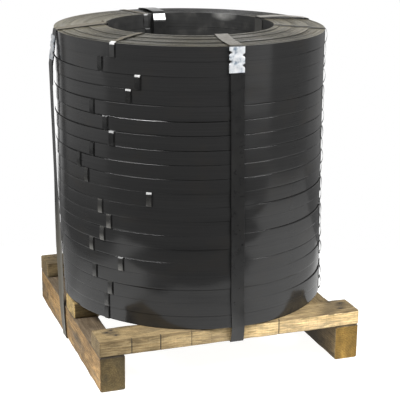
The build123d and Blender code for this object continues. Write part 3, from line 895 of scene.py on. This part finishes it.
# ------------------------------------------------------------------ seals
def seal_mesh(origin, along_dir, wide_dir, out_dir):
    """A pressed seal: sheet wrapped round the strap, lips at the back, crimped notches."""
    o, L, Wd, D = (np.asarray(k, float) for k in (origin, along_dir, wide_dir, out_dir))
    half, length, t = 17.6, 57.0, 0.95
    # the wrap from one back lip round the front to the other, as (across, depth, out-normal)
    arc = []
    for k in range(4):
        arc.append((-half + 9.0 - 2.6 * k, -1.05, 0))
    arc += [(-half + 0.5, -0.95, 0), (-half - 0.1, -0.2, 0), (-half, 0.75, 0), (-half + 0.7, 1.35, 0)]
    front = np.linspace(-half + 2.2, half - 2.2, 15)
    arc += [(x, 1.45 + 0.12 * math.cos(x / half * 1.5), 0) for x in front]
    arc += [(half - 0.7, 1.35, 0), (half, 0.75, 0), (half + 0.1, -0.2, 0), (half - 0.5, -0.95, 0)]
    for k in range(4):
        arc.append((half - 1.2 - 2.6 * (k), -1.05, 0))
    A2 = np.array([(x, d) for x, d, _ in arc])
    tg = np.gradient(A2, axis=0)
    tg /= np.linalg.norm(tg, axis=1)[:, None]
    nm = np.stack([-tg[:, 1], tg[:, 0]], 1)
    S = 58
    vs = np.linspace(-length / 2, length / 2, S)
    V, wear_and_painted_light = [], []
    notches = ((-13.0, 1), (9.5, 1), (-4.0, -1), (16.0, -1))
    for layer in (1, -1):
        for v in vs:
            for (x, d), (nx, nd) in zip(A2, nm):
                x2, d2 = x + nx * t / 2 * layer, d + nd * t / 2 * layer
                dark = 0.0
                for pos, sd in notches:
                    k = max(0.0, 1 - abs(v - pos) / 4.2)
                    e = max(0.0, (x * sd - (half - 6.5)) / 6.5)
                    if k > 0 and e > 0:
                        push = k ** 0.7 * e
                        x2 -= sd * 4.2 * push
                        d2 -= 1.0 * push * (1 if d > 0 else -0.2)
                        dark = max(dark, min(1.0, 1.25 * push))
                sag = 0.25 * math.sin(v * 0.35) * max(0.0, 1 - abs(x) / half)
                V.append(o + L * v + Wd * x2 + D * (d2 + (sag if d > 0.5 else 0)))
                # painted shade: the crimped notches carry a dark mark for their shade
                wear_and_painted_light.append(dark * 0.9)
    m = len(A2)
    F = []
    for layer in (0, 1):
        base = layer * S * m
        for r in range(S - 1):
            for c in range(m - 1):
                q = (base + r * m + c, base + (r + 1) * m + c, base + (r + 1) * m + c + 1, base + r * m + c + 1)
                F.append(q if layer == 0 else q[::-1])
    off = S * m
    for r in range(S - 1):
        F.append((r * m, off + r * m, off + (r + 1) * m, (r + 1) * m))
        e = m - 1
        F.append((r * m + e, (r + 1) * m + e, off + (r + 1) * m + e, off + r * m + e))
    for c in range(m - 1):
        F.append((c, c + 1, off + c + 1, off + c))
        e = (S - 1) * m
        F.append((e + c, off + e + c, off + e + c + 1, e + c + 1))
    return np.array(V), F, np.array(wear_and_painted_light)


SEAL_Z = {"front_strap": 753.0, "rear_strap": 748.0, "left_strap": 741.0, "right_strap": 745.0}
for name, (along, sign, across) in layout.items():
    line, mid = strap_line[name]
    best = None
    for k in range(len(line)):
        p, q = line[k], line[(k + 1) % len(line)]
        if min(p[1], q[1]) <= SEAL_Z[name] <= max(p[1], q[1]) and p[1] != q[1]:
            f = (SEAL_Z[name] - p[1]) / (q[1] - p[1])
            u = p[0] + f * (q[0] - p[0])
            if best is None or sign * u > sign * best[0]:
                d = (q - p) / np.linalg.norm(q - p)
                best = (u, d if d[1] > 0 else -d)
    u, d = best
    nu, nv = sign * d[1], -sign * d[0]
    s = lateral(name, u if sign < 0 else -u, SEAL_Z[name], mid if sign < 0 else -mid)
    if along == 1:
        args = ((across + s, u, SEAL_Z[name]), (0, d[0], d[1]), (1, 0, 0), (0, nu, nv))
    else:
        args = ((u, across + s, SEAL_Z[name]), (d[0], 0, d[1]), (0, -1, 0), (nu, 0, nv))
    V, F, A = seal_mesh(*args)
    ob = add_mesh("pressed_" + name.replace("strap", "seal"), V, F, [zinc_painted_shade if name == "left_strap" else zinc], None, True, {"wear_and_painted_light": A}, 45)
    piece(ob, "seal_zinc", name.replace("strap", "seal"))


# ------------------------------------------------------------------ timber
def timber(name, axis, lo, hi, mat, seed, slot, node, radius=(3.0, 3.0, 3.0, 3.0), chip=1.0, marks=None, cuts=(), notch=None, end_mat=None, top_mat=None):
    """A sawn timber: a long loft with uneven eased edges and rough faces."""
    lo, hi = np.array(lo, float), np.array(hi, float)
    run = axis
    c1 = 1 if axis == 0 else 0
    w, h = hi[c1] - lo[c1], hi[2] - lo[2]
    length = hi[run] - lo[run]
    nl, per = 120, []
    corners = [(0, 0, math.pi, radius[0]), (w, 0, 1.5 * math.pi, radius[1]), (w, h, 0.0, radius[2]), (0, h, 0.5 * math.pi, radius[3])]
    quad = 7
    flat = 12

    def section(t, s):
        pts, edge = [], []
        for k, (px, pz, a0, r) in enumerate(corners):
            g = noise.noise(Vector((s * 0.02, k * 7.3 + seed, 1.7)))
            rr = r * (1 + 0.55 * g) + chip * max(0.0, noise.noise(Vector((s * 0.07, k * 3.1 + seed * 2, 4.2))) - 0.25) * 6
            rr = max(0.8, rr)
            ox, oz = (rr if px == 0 else w - rr), (rr if pz == 0 else h - rr)
            for j in range(quad):
                a = a0 + 0.5 * math.pi * j / (quad - 1)
                pts.append((ox + rr * math.cos(a), oz + rr * math.sin(a)))
                edge.append(1.0 - abs(j - 3) / 4.0)
            nx = corners[(k + 1) % 4]
        full, fe = [], []
        for k in range(4):
            seg = pts[k * quad:(k + 1) * quad]
            full += seg
            fe += edge[k * quad:(k + 1) * quad]
            a, b = np.array(seg[-1]), np.array(pts[((k + 1) % 4) * quad])
            for j in range(1, flat):
                full.append(tuple(a + (b - a) * j / flat))
                fe.append(0.0)
        return full, fe

    V, E, CUT = [], [], []
    stations = [0.0, 0.35, 1.2, 3.0, 6.0] + list(np.linspace(10, length - 10, nl)) + [length - 6, length - 3, length - 1.2, length - 0.35, length]
    for at, _ in cuts:
        stations = [k for k in stations if abs(k - at) > 3.0] + [at - 2.4, at - 1.0, at, at + 1.0, at + 2.4]
    if notch is not None:
        e = notch - lo[run]
        stations = [k for k in stations if abs(k - e) < 15 or abs(k - e) > 19] + [e - 17.6, e - 17.0, e + 17.0, e + 17.6]
    stations = sorted(stations)
    for s in stations:
        inset = 0.0
        d = min(s, length - s)
        if d < 2.5:
            inset = 1.3 * (1 - d / 2.5) ** 2
        sec, fe = section(s / length, s)
        cxm, czm = w / 2, h / 2
        for (a, b), e in zip(sec, fe):
            q = Vector((s * 0.012 + seed, a * 0.05, b * 0.05))
            rough = 0.35 * noise.noise(q * 2.0) + 0.22 * noise.noise(Vector((s * 0.05, a * 0.25, b * 0.25 + seed)))
            k = -max(0.0, 0.30 + rough)
            dx, dz = a - cxm, b - czm
            fx = 1.0 if abs(dx) > w / 2 - 6 else 0.0
            fz = 1.0 if abs(dz) > h / 2 - 6 else 0.0
            a2 = a + (math.copysign(k - inset, dx) * -1 * -1 if fx else 0.0)
            b2 = b + (math.copysign(k - inset, dz) * -1 * -1 if fz else 0.0)
            if fx:
                a2 = a + math.copysign(1.0, dx) * (k - inset)
            if fz:
                b2 = b + math.copysign(1.0, dz) * (k - inset)
            cutting = 0.0
            for at, deep in cuts:
                if abs(s - at) < 1.3 and dx < -(w / 2 - 6):
                    a2 += 0.8 * deep
                    cutting = max(cutting, deep)
            CUT.append(cutting)
            if notch is not None and abs(lo[run] + s - notch) < 17.2:
                b2 = max(b2, 2.4)
            p = [0.0, 0.0, 0.0]
            p[run] = lo[run] + s
            p[c1] = lo[c1] + a2
            p[2] = lo[2] + b2
            V.append(p)
            E.append(e * (0.5 + 0.5 * noise.noise(Vector((s * 0.03, a * 0.1, seed)))) )
    m = len(sec)
    n = len(stations)
    F = ring_faces(n, m, False, True)
    # end grain: rings shrinking to the middle, slightly sunk and rough
    for end in (0, n - 1):
        base = [end * m + k for k in range(m)]
        prev = base
        for f in (0.93, 0.75, 0.5, 0.25):
            ringv = []
            for k in base:
                p = np.array(V[k])
                c = lo + (hi - lo) / 2
                q = c + (p - c) * f
                q[run] = p[run] + (1 if end == 0 else -1) * (0.25 + 0.35 * noise.noise(Vector((q[c1] * 0.2, q[2] * 0.2, seed + end))))
                ringv.append(len(V))
                V.append(list(q))
                E.append(0.25)
            for k in range(m):
                F.append((prev[k], prev[(k + 1) % m], ringv[(k + 1) % m], ringv[k])[::(-1 if end == 0 else 1)])
            prev = ringv
        c = lo + (hi - lo) / 2
        c[run] = V[base[0]][run] + (0.3 if end == 0 else -0.3)
        V.append(list(c))
        E.append(0.25)
        for k in range(m):
            F.append((prev[k], prev[(k + 1) % m], len(V) - 1)[::(-1 if end == 0 else 1)])
    CUT += [0.0] * (len(V) - len(CUT))
    tone, stain = [], []
    for q, c in zip(V, CUT):
        g, d = marks(q[0] - SKX, q[1] - SKY, q[2]) if marks else (1.0, 0.0)
        tone.append(g)
        stain.append(max(d, c))
    P = np.asarray(V, float)
    crown = P[:, 2].max() - 4.0
    which = [2 if P[list(q), 2].min() > crown else 0 for q in F[:(n - 1) * m]] + [1] * (len(F) - (n - 1) * m)
    ob = add_mesh(name, V, F, [mat, end_mat or mat, top_mat or mat], which, True, {"edge": np.clip(E, 0, 1), "tone": tone, "stain": stain}, 32)
    return piece(ob, slot, node)


def near(x, y, spots):
    """Dark iron stain round nails, drawn out along the grain."""
    return max([0.0] + [math.exp(-((x - a) / rx) ** 2 - ((y - b) / ry) ** 2) for a, b, rx, ry in spots])


def front_marks(x, y, z):
    top = z > DECK_Z - 4
    face = y < -SKID_DEP / 2 + 4 and not top
    g = lerp(x, ((-324.0, 0.70), (-190.0, 0.80), (-150.0, 1.08), (0.0, 1.22), (60.0, 2.05), (324.0, 2.35)))
    if top:
        g = lerp(x, ((-324.0, 0.56), (-150.0, 0.64), (150.0, 0.85), (324.0, 0.58)))
    if x < -SKID_LEN / 2 + 3:
        g = 0.60
    d = 0.0
    if top:
        d = near(x, y, [(-296, -261, 11, 6), (-281, -252, 9, 6), (-277, -283, 12, 7), (276, -243, 10, 6), (300, -260, 15, 9), (286, -290, 14, 8)])
        d = max(d, 0.70 * near(x, y, [(-286, -268, 19, 20), (292, -268, 26, 22)]))
        d = max(d, 0.55 * math.exp(-((x - 262 - 0.5 * (y + 275)) / 34) ** 2))
        d = max(d, 0.50 * step(y, -248, -238) * step(x, -330, -280) * (1 - step(x, -120, 60)))
    if face:
        d = 0.26 * (1 - step(x, -260, -190))
        # painted shade: the foot of the front face is darkened where it sits on the stringers
        d = max(d, 0.6 * (1 - step(z, STR_H + 1, STR_H + 6)) * (1 if abs(x) > 250 else 0))
    return g, d


def left_marks(x, y, z):
    end = y < -SKID_DEP / 2 + 3
    top = z > STR_H - 4
    if end:
        # painted shade: the 0.9 term darkens the top of the end under the front board
        d = 0.10 + 0.9 * step(z, 79, 86) + 0.25 * step(-x, 316, 324)
        return 0.64 + 0.42 * math.exp(-((x + 292) / 10) ** 2 - ((z - 58) / 18) ** 2) + 0.25 * (1 - step(z, 4, 22)), d
    g = 0.92 + 0.75 * math.exp(-((y + 285) / 48) ** 2 - ((z - 28) / 26) ** 2) + 0.35 * math.exp(-((y - 150) / 90) ** 2 - ((z - 40) / 30) ** 2)
    d = 0.34 * math.exp(-((y + 215) / 42) ** 2 - ((z - 70) / 24) ** 2) + 0.22 * math.exp(-((y + 90) / 40) ** 2)
    if top:
        g, d = 1.0, 0.06 + 0.12 * step(y, -120, -230)
    return g, d


def right_marks(x, y, z):
    end = y < -SKID_DEP / 2 + 3
    if end:
        stripe = math.exp(-((x - (SKID_LEN / 2 - 36)) / 7) ** 2)
        # painted shade: the top of the end is darkened under the front board
        return 0.80 + 0.35 * stripe + 0.12 * step(z, 50, 10), 0.75 * step(z, 80, 86)
    if x > SKID_LEN / 2 - STR_WR + 4:
        return 0.82, 0.0
    # painted shade: the remaining faces, mainly the inner side, darken towards the back and towards the top, under the
    # deck
    return lerp(y, ((-314.0, 0.52), (-285.0, 0.42), (-240.0, 0.24), (-190.0, 0.10))), 0.30 * step(z, 30, 86)


def plain_marks(x, y, z):
    end = x < -SKID_LEN / 2 + 3
    face = (y < MID_F + 3) and not end
    # painted shade: the middle board's front face, in the gap between the boards, is darkened
    if face:
        return (0.34, 0.30) if y < 100 else (0.85, 0.0)
    return ((1.35 if y < 100 else 1.0) if end else 0.8), 0.0


FRONT_CUTS = ((75.0, 0.75), (144.0, 0.85), (219.0, 0.6), (268.0, 0.35), (438.0, 0.8))
timber("skid_left_stringer", 1, (X_LO, Y_LO, 0), (X_LO + STR_WL, Y_HI, STR_H), wood_left, 1.0, "stringer_wood", "left_stringer", (5, 6, 3, 3), 1.0, left_marks, (), SKY + LEFT_Y, end_left, top_left)
timber("skid_right_stringer", 1, (X_HI - STR_WR, Y_LO, 0), (X_HI, Y_HI, STR_H), side_right, 2.0, "stringer_wood", "right_stringer", (6, 5, 3, 3), 1.0, right_marks, (), SKY + RIGHT_Y, wood_right)
timber("skid_front_board", 0, (X_LO, Y_LO, STR_H), (X_HI, Y_LO + BOARD_W, DECK_Z), wood_front, 3.0, "board_wood", "front_deck_board", (3, 3, 4, 3.5), 1.0,
       front_marks, FRONT_CUTS)
timber("skid_middle_board", 0, (X_LO, SKY + MID_F, STR_H), (X_HI, SKY + MID_F + MID_W, DECK_Z), wood_mid, 4.0, "board_wood", "middle_deck_board",
       (3, 3, 3, 3), 1.0, plain_marks)
timber("skid_rear_board", 0, (X_LO, Y_HI - BOARD_W, STR_H), (X_HI, Y_HI, DECK_Z), wood_rear, 5.0, "board_wood", "rear_deck_board", (3, 3, 3, 3), 1.0, plain_marks)

# ------------------------------------------------------------------ nails
spots = []
for a, b in ((Y_LO, Y_LO + BOARD_W), (SKY + MID_F, SKY + MID_F + MID_W), (Y_HI - BOARD_W, Y_HI)):
    for c, d in ((X_LO, X_LO + STR_WL), (X_HI - STR_WR, X_HI)):
        m, w = (c + d) / 2, (a + b) / 2
        if w < SKY - 200 and m < SKX:
            spots += [(m, w + 13.5), (m + 13, w + 22), (m + 16, w - 8.5)]
        elif w < SKY - 200:
            spots += [(m - 15.7, w + 31), (m + 5.5, w + 14.5), (m - 8.7, w - 15.5)]
        else:
            spots += [(m - 14, w + 12), (m + 3, w + 20), (m + 13, w - 15)]
parts = []
for k, (x, y) in enumerate(spots):
    rj = random.Random(900 + k)
    tilt = (rj.uniform(-0.10, 0.10), rj.uniform(-0.10, 0.10))
    prof = [(0.0, 0.42), (1.6, 0.40), (2.9, 0.24), (3.4, -0.10), (3.3, -0.75), (1.8, -1.1), (1.7, -2.5), (1.7, -66.0), (0.9, -72.0), (0.0, -75.0)]
    V, F = [(x, y, DECK_Z + 0.42)], []
    S = 14
    for r, h in prof[1:-1]:
        for s in range(S):
            a = 2 * math.pi * s / S
            px, py = r * math.cos(a), r * math.sin(a)
            V.append((x + px, y + py, DECK_Z + h + (px * tilt[0] + py * tilt[1] if h > -1.2 else 0)))
    V.append((x, y, DECK_Z - 75.0))
    n = len(prof) - 2
    for s in range(S):
        F.append((0, 1 + s, 1 + (s + 1) % S))
        for r in range(n - 1):
            F.append((1 + r * S + s, 1 + (r + 1) * S + s, 1 + (r + 1) * S + (s + 1) % S, 1 + r * S + (s + 1) % S))
        F.append((1 + (n - 1) * S + s, len(V) - 1, 1 + (n - 1) * S + (s + 1) % S))
    parts.append((np.array(V), F, np.zeros(len(V))))
V, F, A = join(parts)
piece(add_mesh("skid_nails", V, F, [nail_mat], None, True, {"wear_and_painted_light": A}, 40), "nail_steel", "nails")

# ------------------------------------------------------------------ floor
yaw, tilt, roll = (math.radians(v) for v in (19.627, 16.545, 0.661))
sh = Shade("pale_floor")
grain = sh.noise(sh.vmul(sh.coord(), (3, 3, 3)), 1.0, 3, 0.5)
floor_mat = sh.set(color=sh.ramp(grain, [(0.3, (0.33, 0.33, 0.328)), (0.7, (0.36, 0.36, 0.358))]), rough=0.9, spec=0.1)
sh.b.inputs["Emission Color"].default_value = (1.0, 1.0, 0.99, 1.0)
# a sheet laid square to the camera, lit less at its far sides and along its front
ax, ay = Vector((math.cos(yaw), -math.sin(yaw), 0.0)), Vector((math.sin(yaw), math.cos(yaw), 0.0))


def sheet(d):
    node = sh.n("ShaderNodeVectorMath", operation="DOT_PRODUCT")
    sh.put(node.inputs[0], sh.coord())
    node.inputs[1].default_value = d
    return node.outputs["Value"]


wide, deep = sh.math("ABSOLUTE", sheet(ax)), sheet(ay)
far = sh.math("MULTIPLY", sh.math("DIVIDE", sh.math("SUBTRACT", wide, 0.64), 0.10, True), sh.math("DIVIDE", sh.math("ADD", deep, 0.25), 0.75, True))
fore = sh.math("MULTIPLY", sh.math("DIVIDE", sh.math("SUBTRACT", -0.41, deep), 0.15, True),
               sh.math("SUBTRACT", 1.0, sh.math("DIVIDE", sh.math("SUBTRACT", wide, 0.35), 0.2, True)))
lit = sh.math("MULTIPLY", sh.math("SUBTRACT", 1.0, sh.math("MULTIPLY", far, 0.90)), sh.math("SUBTRACT", 1.0, sh.math("MULTIPLY", fore, 0.80)))
lit = sh.math("MULTIPLY", lit, sh.math("SUBTRACT", 1.0, sh.math("MULTIPLY", sh.math("DIVIDE", sh.math("SUBTRACT", wide, 0.70), 0.9, True), 0.75)))
lit = sh.math("MULTIPLY", lit, sh.math("SUBTRACT", 1.0, sh.math("MULTIPLY", sh.math("DIVIDE", sh.math("SUBTRACT", sheet(ax), 0.30), 0.15, True), 0.40)))
seen = sh.n("ShaderNodeLightPath").outputs["Is Camera Ray"]
lit = sh.math("MULTIPLY", lit, sh.math("SUBTRACT", 1.0, sh.math("MULTIPLY", sh.math("DIVIDE", sh.math("SUBTRACT", sh.math("MULTIPLY", sheet(ax), -1.0), 0.42), 0.2, True), 0.45)))
lit = sh.math("MULTIPLY", lit, sh.math("SUBTRACT", 1.0, sh.math("MULTIPLY", sh.math("MULTIPLY", sh.math("DIVIDE", deep, 0.15, True),
              sh.math("DIVIDE", sh.math("SUBTRACT", sh.math("MULTIPLY", sheet(ax), -1.0), 0.2), 0.1, True)), 0.85)))
lit = sh.math("ADD", sh.math("MULTIPLY", sh.math("MULTIPLY", lit, 0.84), sh.math("SUBTRACT", 1.0, seen)), sh.math("MULTIPLY", seen, 0.955))
sh.put(sh.b.inputs["Emission Strength"], lit)
me = bpy.data.meshes.new("floor")
me.from_pydata([tuple(ax * a + ay * b + Vector((0, 0, -0.0004))) for a, b in ((-0.95, -0.77), (1.9, -0.77), (1.9, 0.62), (-0.95, 0.62))], [], [(0, 1, 2, 3)])
me.materials.append(floor_mat)
floor = bpy.data.objects.new("floor", me)
bpy.context.scene.collection.objects.link(floor)
floor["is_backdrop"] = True

# ------------------------------------------------------------------ camera
cam_data = bpy.data.cameras.new("photo_camera")
cam_data.sensor_width = 36.0
cam_data.lens = 36.0 * 1169.5 / 400.0
cam_data.clip_start, cam_data.clip_end = 0.05, 100.0
cam = bpy.data.objects.new("photo_camera", cam_data)
bpy.context.scene.collection.objects.link(cam)
fwd = Vector((math.sin(yaw) * math.cos(tilt), math.cos(yaw) * math.cos(tilt), -math.sin(tilt)))
right = Vector((math.cos(yaw), -math.sin(yaw), 0.0))
up = right.cross(fwd)
r2 = right * math.cos(roll) + up * math.sin(roll)
u2 = up * math.cos(roll) - right * math.sin(roll)
m = Matrix.Identity(4)
for k in range(3):
    m[k][0], m[k][1], m[k][2] = r2[k], u2[k], -fwd[k]
m.translation = Vector((-0.9302 + SKX * 0.001, -2.6739 + SKY * 0.001, 1.1827))
cam.matrix_world = m
bpy.context.scene.camera = cam

# ------------------------------------------------------------------ light
scene = bpy.context.scene
scene.view_settings.view_transform = "Standard"
scene.view_settings.look = "None"
world = bpy.data.worlds.new("studio")
scene.world = world
world.use_nodes = True
t = world.node_tree
t.nodes.clear()
out = t.nodes.new("ShaderNodeOutputWorld")


def wn(kind, **props):
    node = t.nodes.new(kind)
    for k, v in props.items():
        setattr(node, k, v)
    return node


def wmath(op, a, b=None, clamp=False):
    node = wn("ShaderNodeMath", operation=op, use_clamp=clamp)
    for k, v in enumerate((a, b)):
        if v is None:
            continue
        if isinstance(v, bpy.types.NodeSocket):
            t.links.new(v, node.inputs[k])
        else:
            node.inputs[k].default_value = v
    return node.outputs[0]


def wdot(vec, d):
    node = wn("ShaderNodeVectorMath", operation="DOT_PRODUCT")
    t.links.new(vec, node.inputs[0])
    node.inputs[1].default_value = d
    return node.outputs["Value"]


def wramp(fac, stops):
    node = wn("ShaderNodeValToRGB")
    el = node.color_ramp.elements
    while len(el) > 1:
        el.remove(el[-1])
    for k, (p, c) in enumerate(stops):
        e = el[0] if k == 0 else el.new(p)
        e.position = p
        e.color = (c, c, c, 1.0)
    t.links.new(fac, node.inputs[0])
    return node.outputs[0]


def wmix(a, b, op):
    node = wn("ShaderNodeMix", data_type="RGBA", blend_type=op)
    node.inputs[0].default_value = 1.0
    t.links.new(a, node.inputs[6])
    t.links.new(b, node.inputs[7])
    return node.outputs[2]


g = wn("ShaderNodeTexCoord").outputs["Generated"]
# directions seen from the object: towards the camera, to the camera's right, up
f = wdot(g, Vector((-math.sin(yaw), -math.cos(yaw), 0.0)))
r = wdot(g, Vector((math.cos(yaw), -math.sin(yaw), 0.0)))
z = wdot(g, (0, 0, 1))
turn = wmath("ADD", wmath("DIVIDE", wmath("ARCTAN2", r, f), 2 * math.pi), 0.5)


def ring(stops):
    """Brightness right round the room: degrees from the camera's side, + to its right."""
    return wramp(turn, [((d + 180) / 360, v) for d, v in stops])


upper = ring([(-180, 0.66), (-141, 0.72), (-138.5, 0.55), (-136, 0.08), (-131, 0.03), (-128, 0.25), (-124, 0.42), (-80, 0.50), (-73, 0.48), (-70, 0.09), (72, 0.09),
              (74, 0.10), (105, 0.08), (118, 0.16), (124, 0.28), (148, 0.32), (165, 0.22), (180, 0.40)])
lower = ring([(-180, 0.20), (-141, 0.20), (-138, 0.08), (60, 0.08), (75, 0.10), (110, 0.13), (180, 0.16)])
panel = ring([(-180, 0.0), (40, 0.0), (46, 0.58), (66, 0.68), (71, 0.66), (73, 0.0), (180, 0.0)])
rim = ring([(-180, 1.7), (-159, 1.6), (-150, 0.35), (-143, 0.0), (180, 0.0)])
behind = ring([(-180, 1.2), (-150, 1.2), (-110, 0.0), (110, 0.0), (150, 1.2), (180, 1.2)])
mix = wn("ShaderNodeMix", data_type="RGBA", blend_type="MIX")
t.links.new(wmath("DIVIDE", wmath("ADD", z, 0.285), 0.065, True), mix.inputs[0])       # 0 at 16.5 degrees down, 1 at 12.7 down
t.links.new(lower, mix.inputs[6])
t.links.new(upper, mix.inputs[7])
half = wmath("ADD", wmath("MULTIPLY", z, 0.5), 0.5)
height = wramp(half, [(0.0, 0.5), (0.38, 1.0), (0.49, 1.0), (0.52, 0.20), (0.66, 0.06), (1.0, 0.06)])
side = wramp(half, [(0.0, 0.0), (0.375, 0.0), (0.410, 1.0), (0.49, 1.0), (0.51, 0.0), (1.0, 0.0)])
back = wramp(half, [(0.0, 0.0), (0.49, 0.0), (0.52, 1.0), (0.62, 1.0), (0.72, 0.2), (1.0, 0.0)])
ceiling = wramp(half, [(0.0, 0.0), (0.66, 0.0), (0.80, 0.025), (1.0, 0.03)])
far_low = wramp(half, [(0.0, 0.0), (0.365, 0.0), (0.385, 1.0), (0.49, 1.0), (0.51, 0.0), (1.0, 0.0)])
glow = wmix(wmix(mix.outputs[2], height, "MULTIPLY"), wmix(panel, side, "MULTIPLY"), "ADD")
glow = wmix(glow, wmix(rim, far_low, "MULTIPLY"), "ADD")
glow = wmix(wmix(glow, wmix(behind, back, "MULTIPLY"), "ADD"), ceiling, "ADD")
env = wn("ShaderNodeBackground")
t.links.new(glow, env.inputs[0])
env.inputs[1].default_value = 1.0
plain = wn("ShaderNodeBackground")
plain.inputs[0].default_value = (1.0, 1.0, 1.0, 1.0)
plain.inputs[1].default_value = 1.0
pick = wn("ShaderNodeMixShader")
t.links.new(wn("ShaderNodeLightPath").outputs["Is Camera Ray"], pick.inputs[0])
t.links.new(env.outputs[0], pick.inputs[1])
t.links.new(plain.outputs[0], pick.inputs[2])
t.links.new(pick.outputs[0], out.inputs[0])


def softbox(name, at, aim, size, watts):
    d = bpy.data.lights.new(name, "AREA")
    d.shape = "RECTANGLE"
    d.size, d.size_y = size
    d.energy = watts
    o = bpy.data.objects.new(name, d)
    scene.collection.objects.link(o)
    o.location = at
    o.rotation_mode = "QUATERNION"
    o.rotation_quaternion = (Vector(aim) - Vector(at)).to_track_quat("-Z", "Y")
    return o




def about(deg, el, dist):
    """A place by its angle from the camera's side (+ to its right), its elevation and distance."""
    a, e = math.radians(deg), math.radians(el)
    v = Vector((-math.sin(yaw), -math.cos(yaw), 0.0)) * math.cos(a) + Vector((math.cos(yaw), -math.sin(yaw), 0.0)) * math.sin(a)
    return v * math.cos(e) * dist + Vector((0, 0, 0.4 + math.sin(e) * dist))


softbox("left_softbox", about(-51, 42, 2.6), (0, 0, 0.4), (1.95, 1.0), 84.0)
softbox("right_softbox", about(64, 42, 2.6), (0, 0, 0.4), (1.25, 1.0), 84.0)

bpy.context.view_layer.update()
tris = sum(len(p.vertices) - 2 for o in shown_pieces() for p in o.data.polygons if o.type == "MESH")
print("triangles shown", tris)
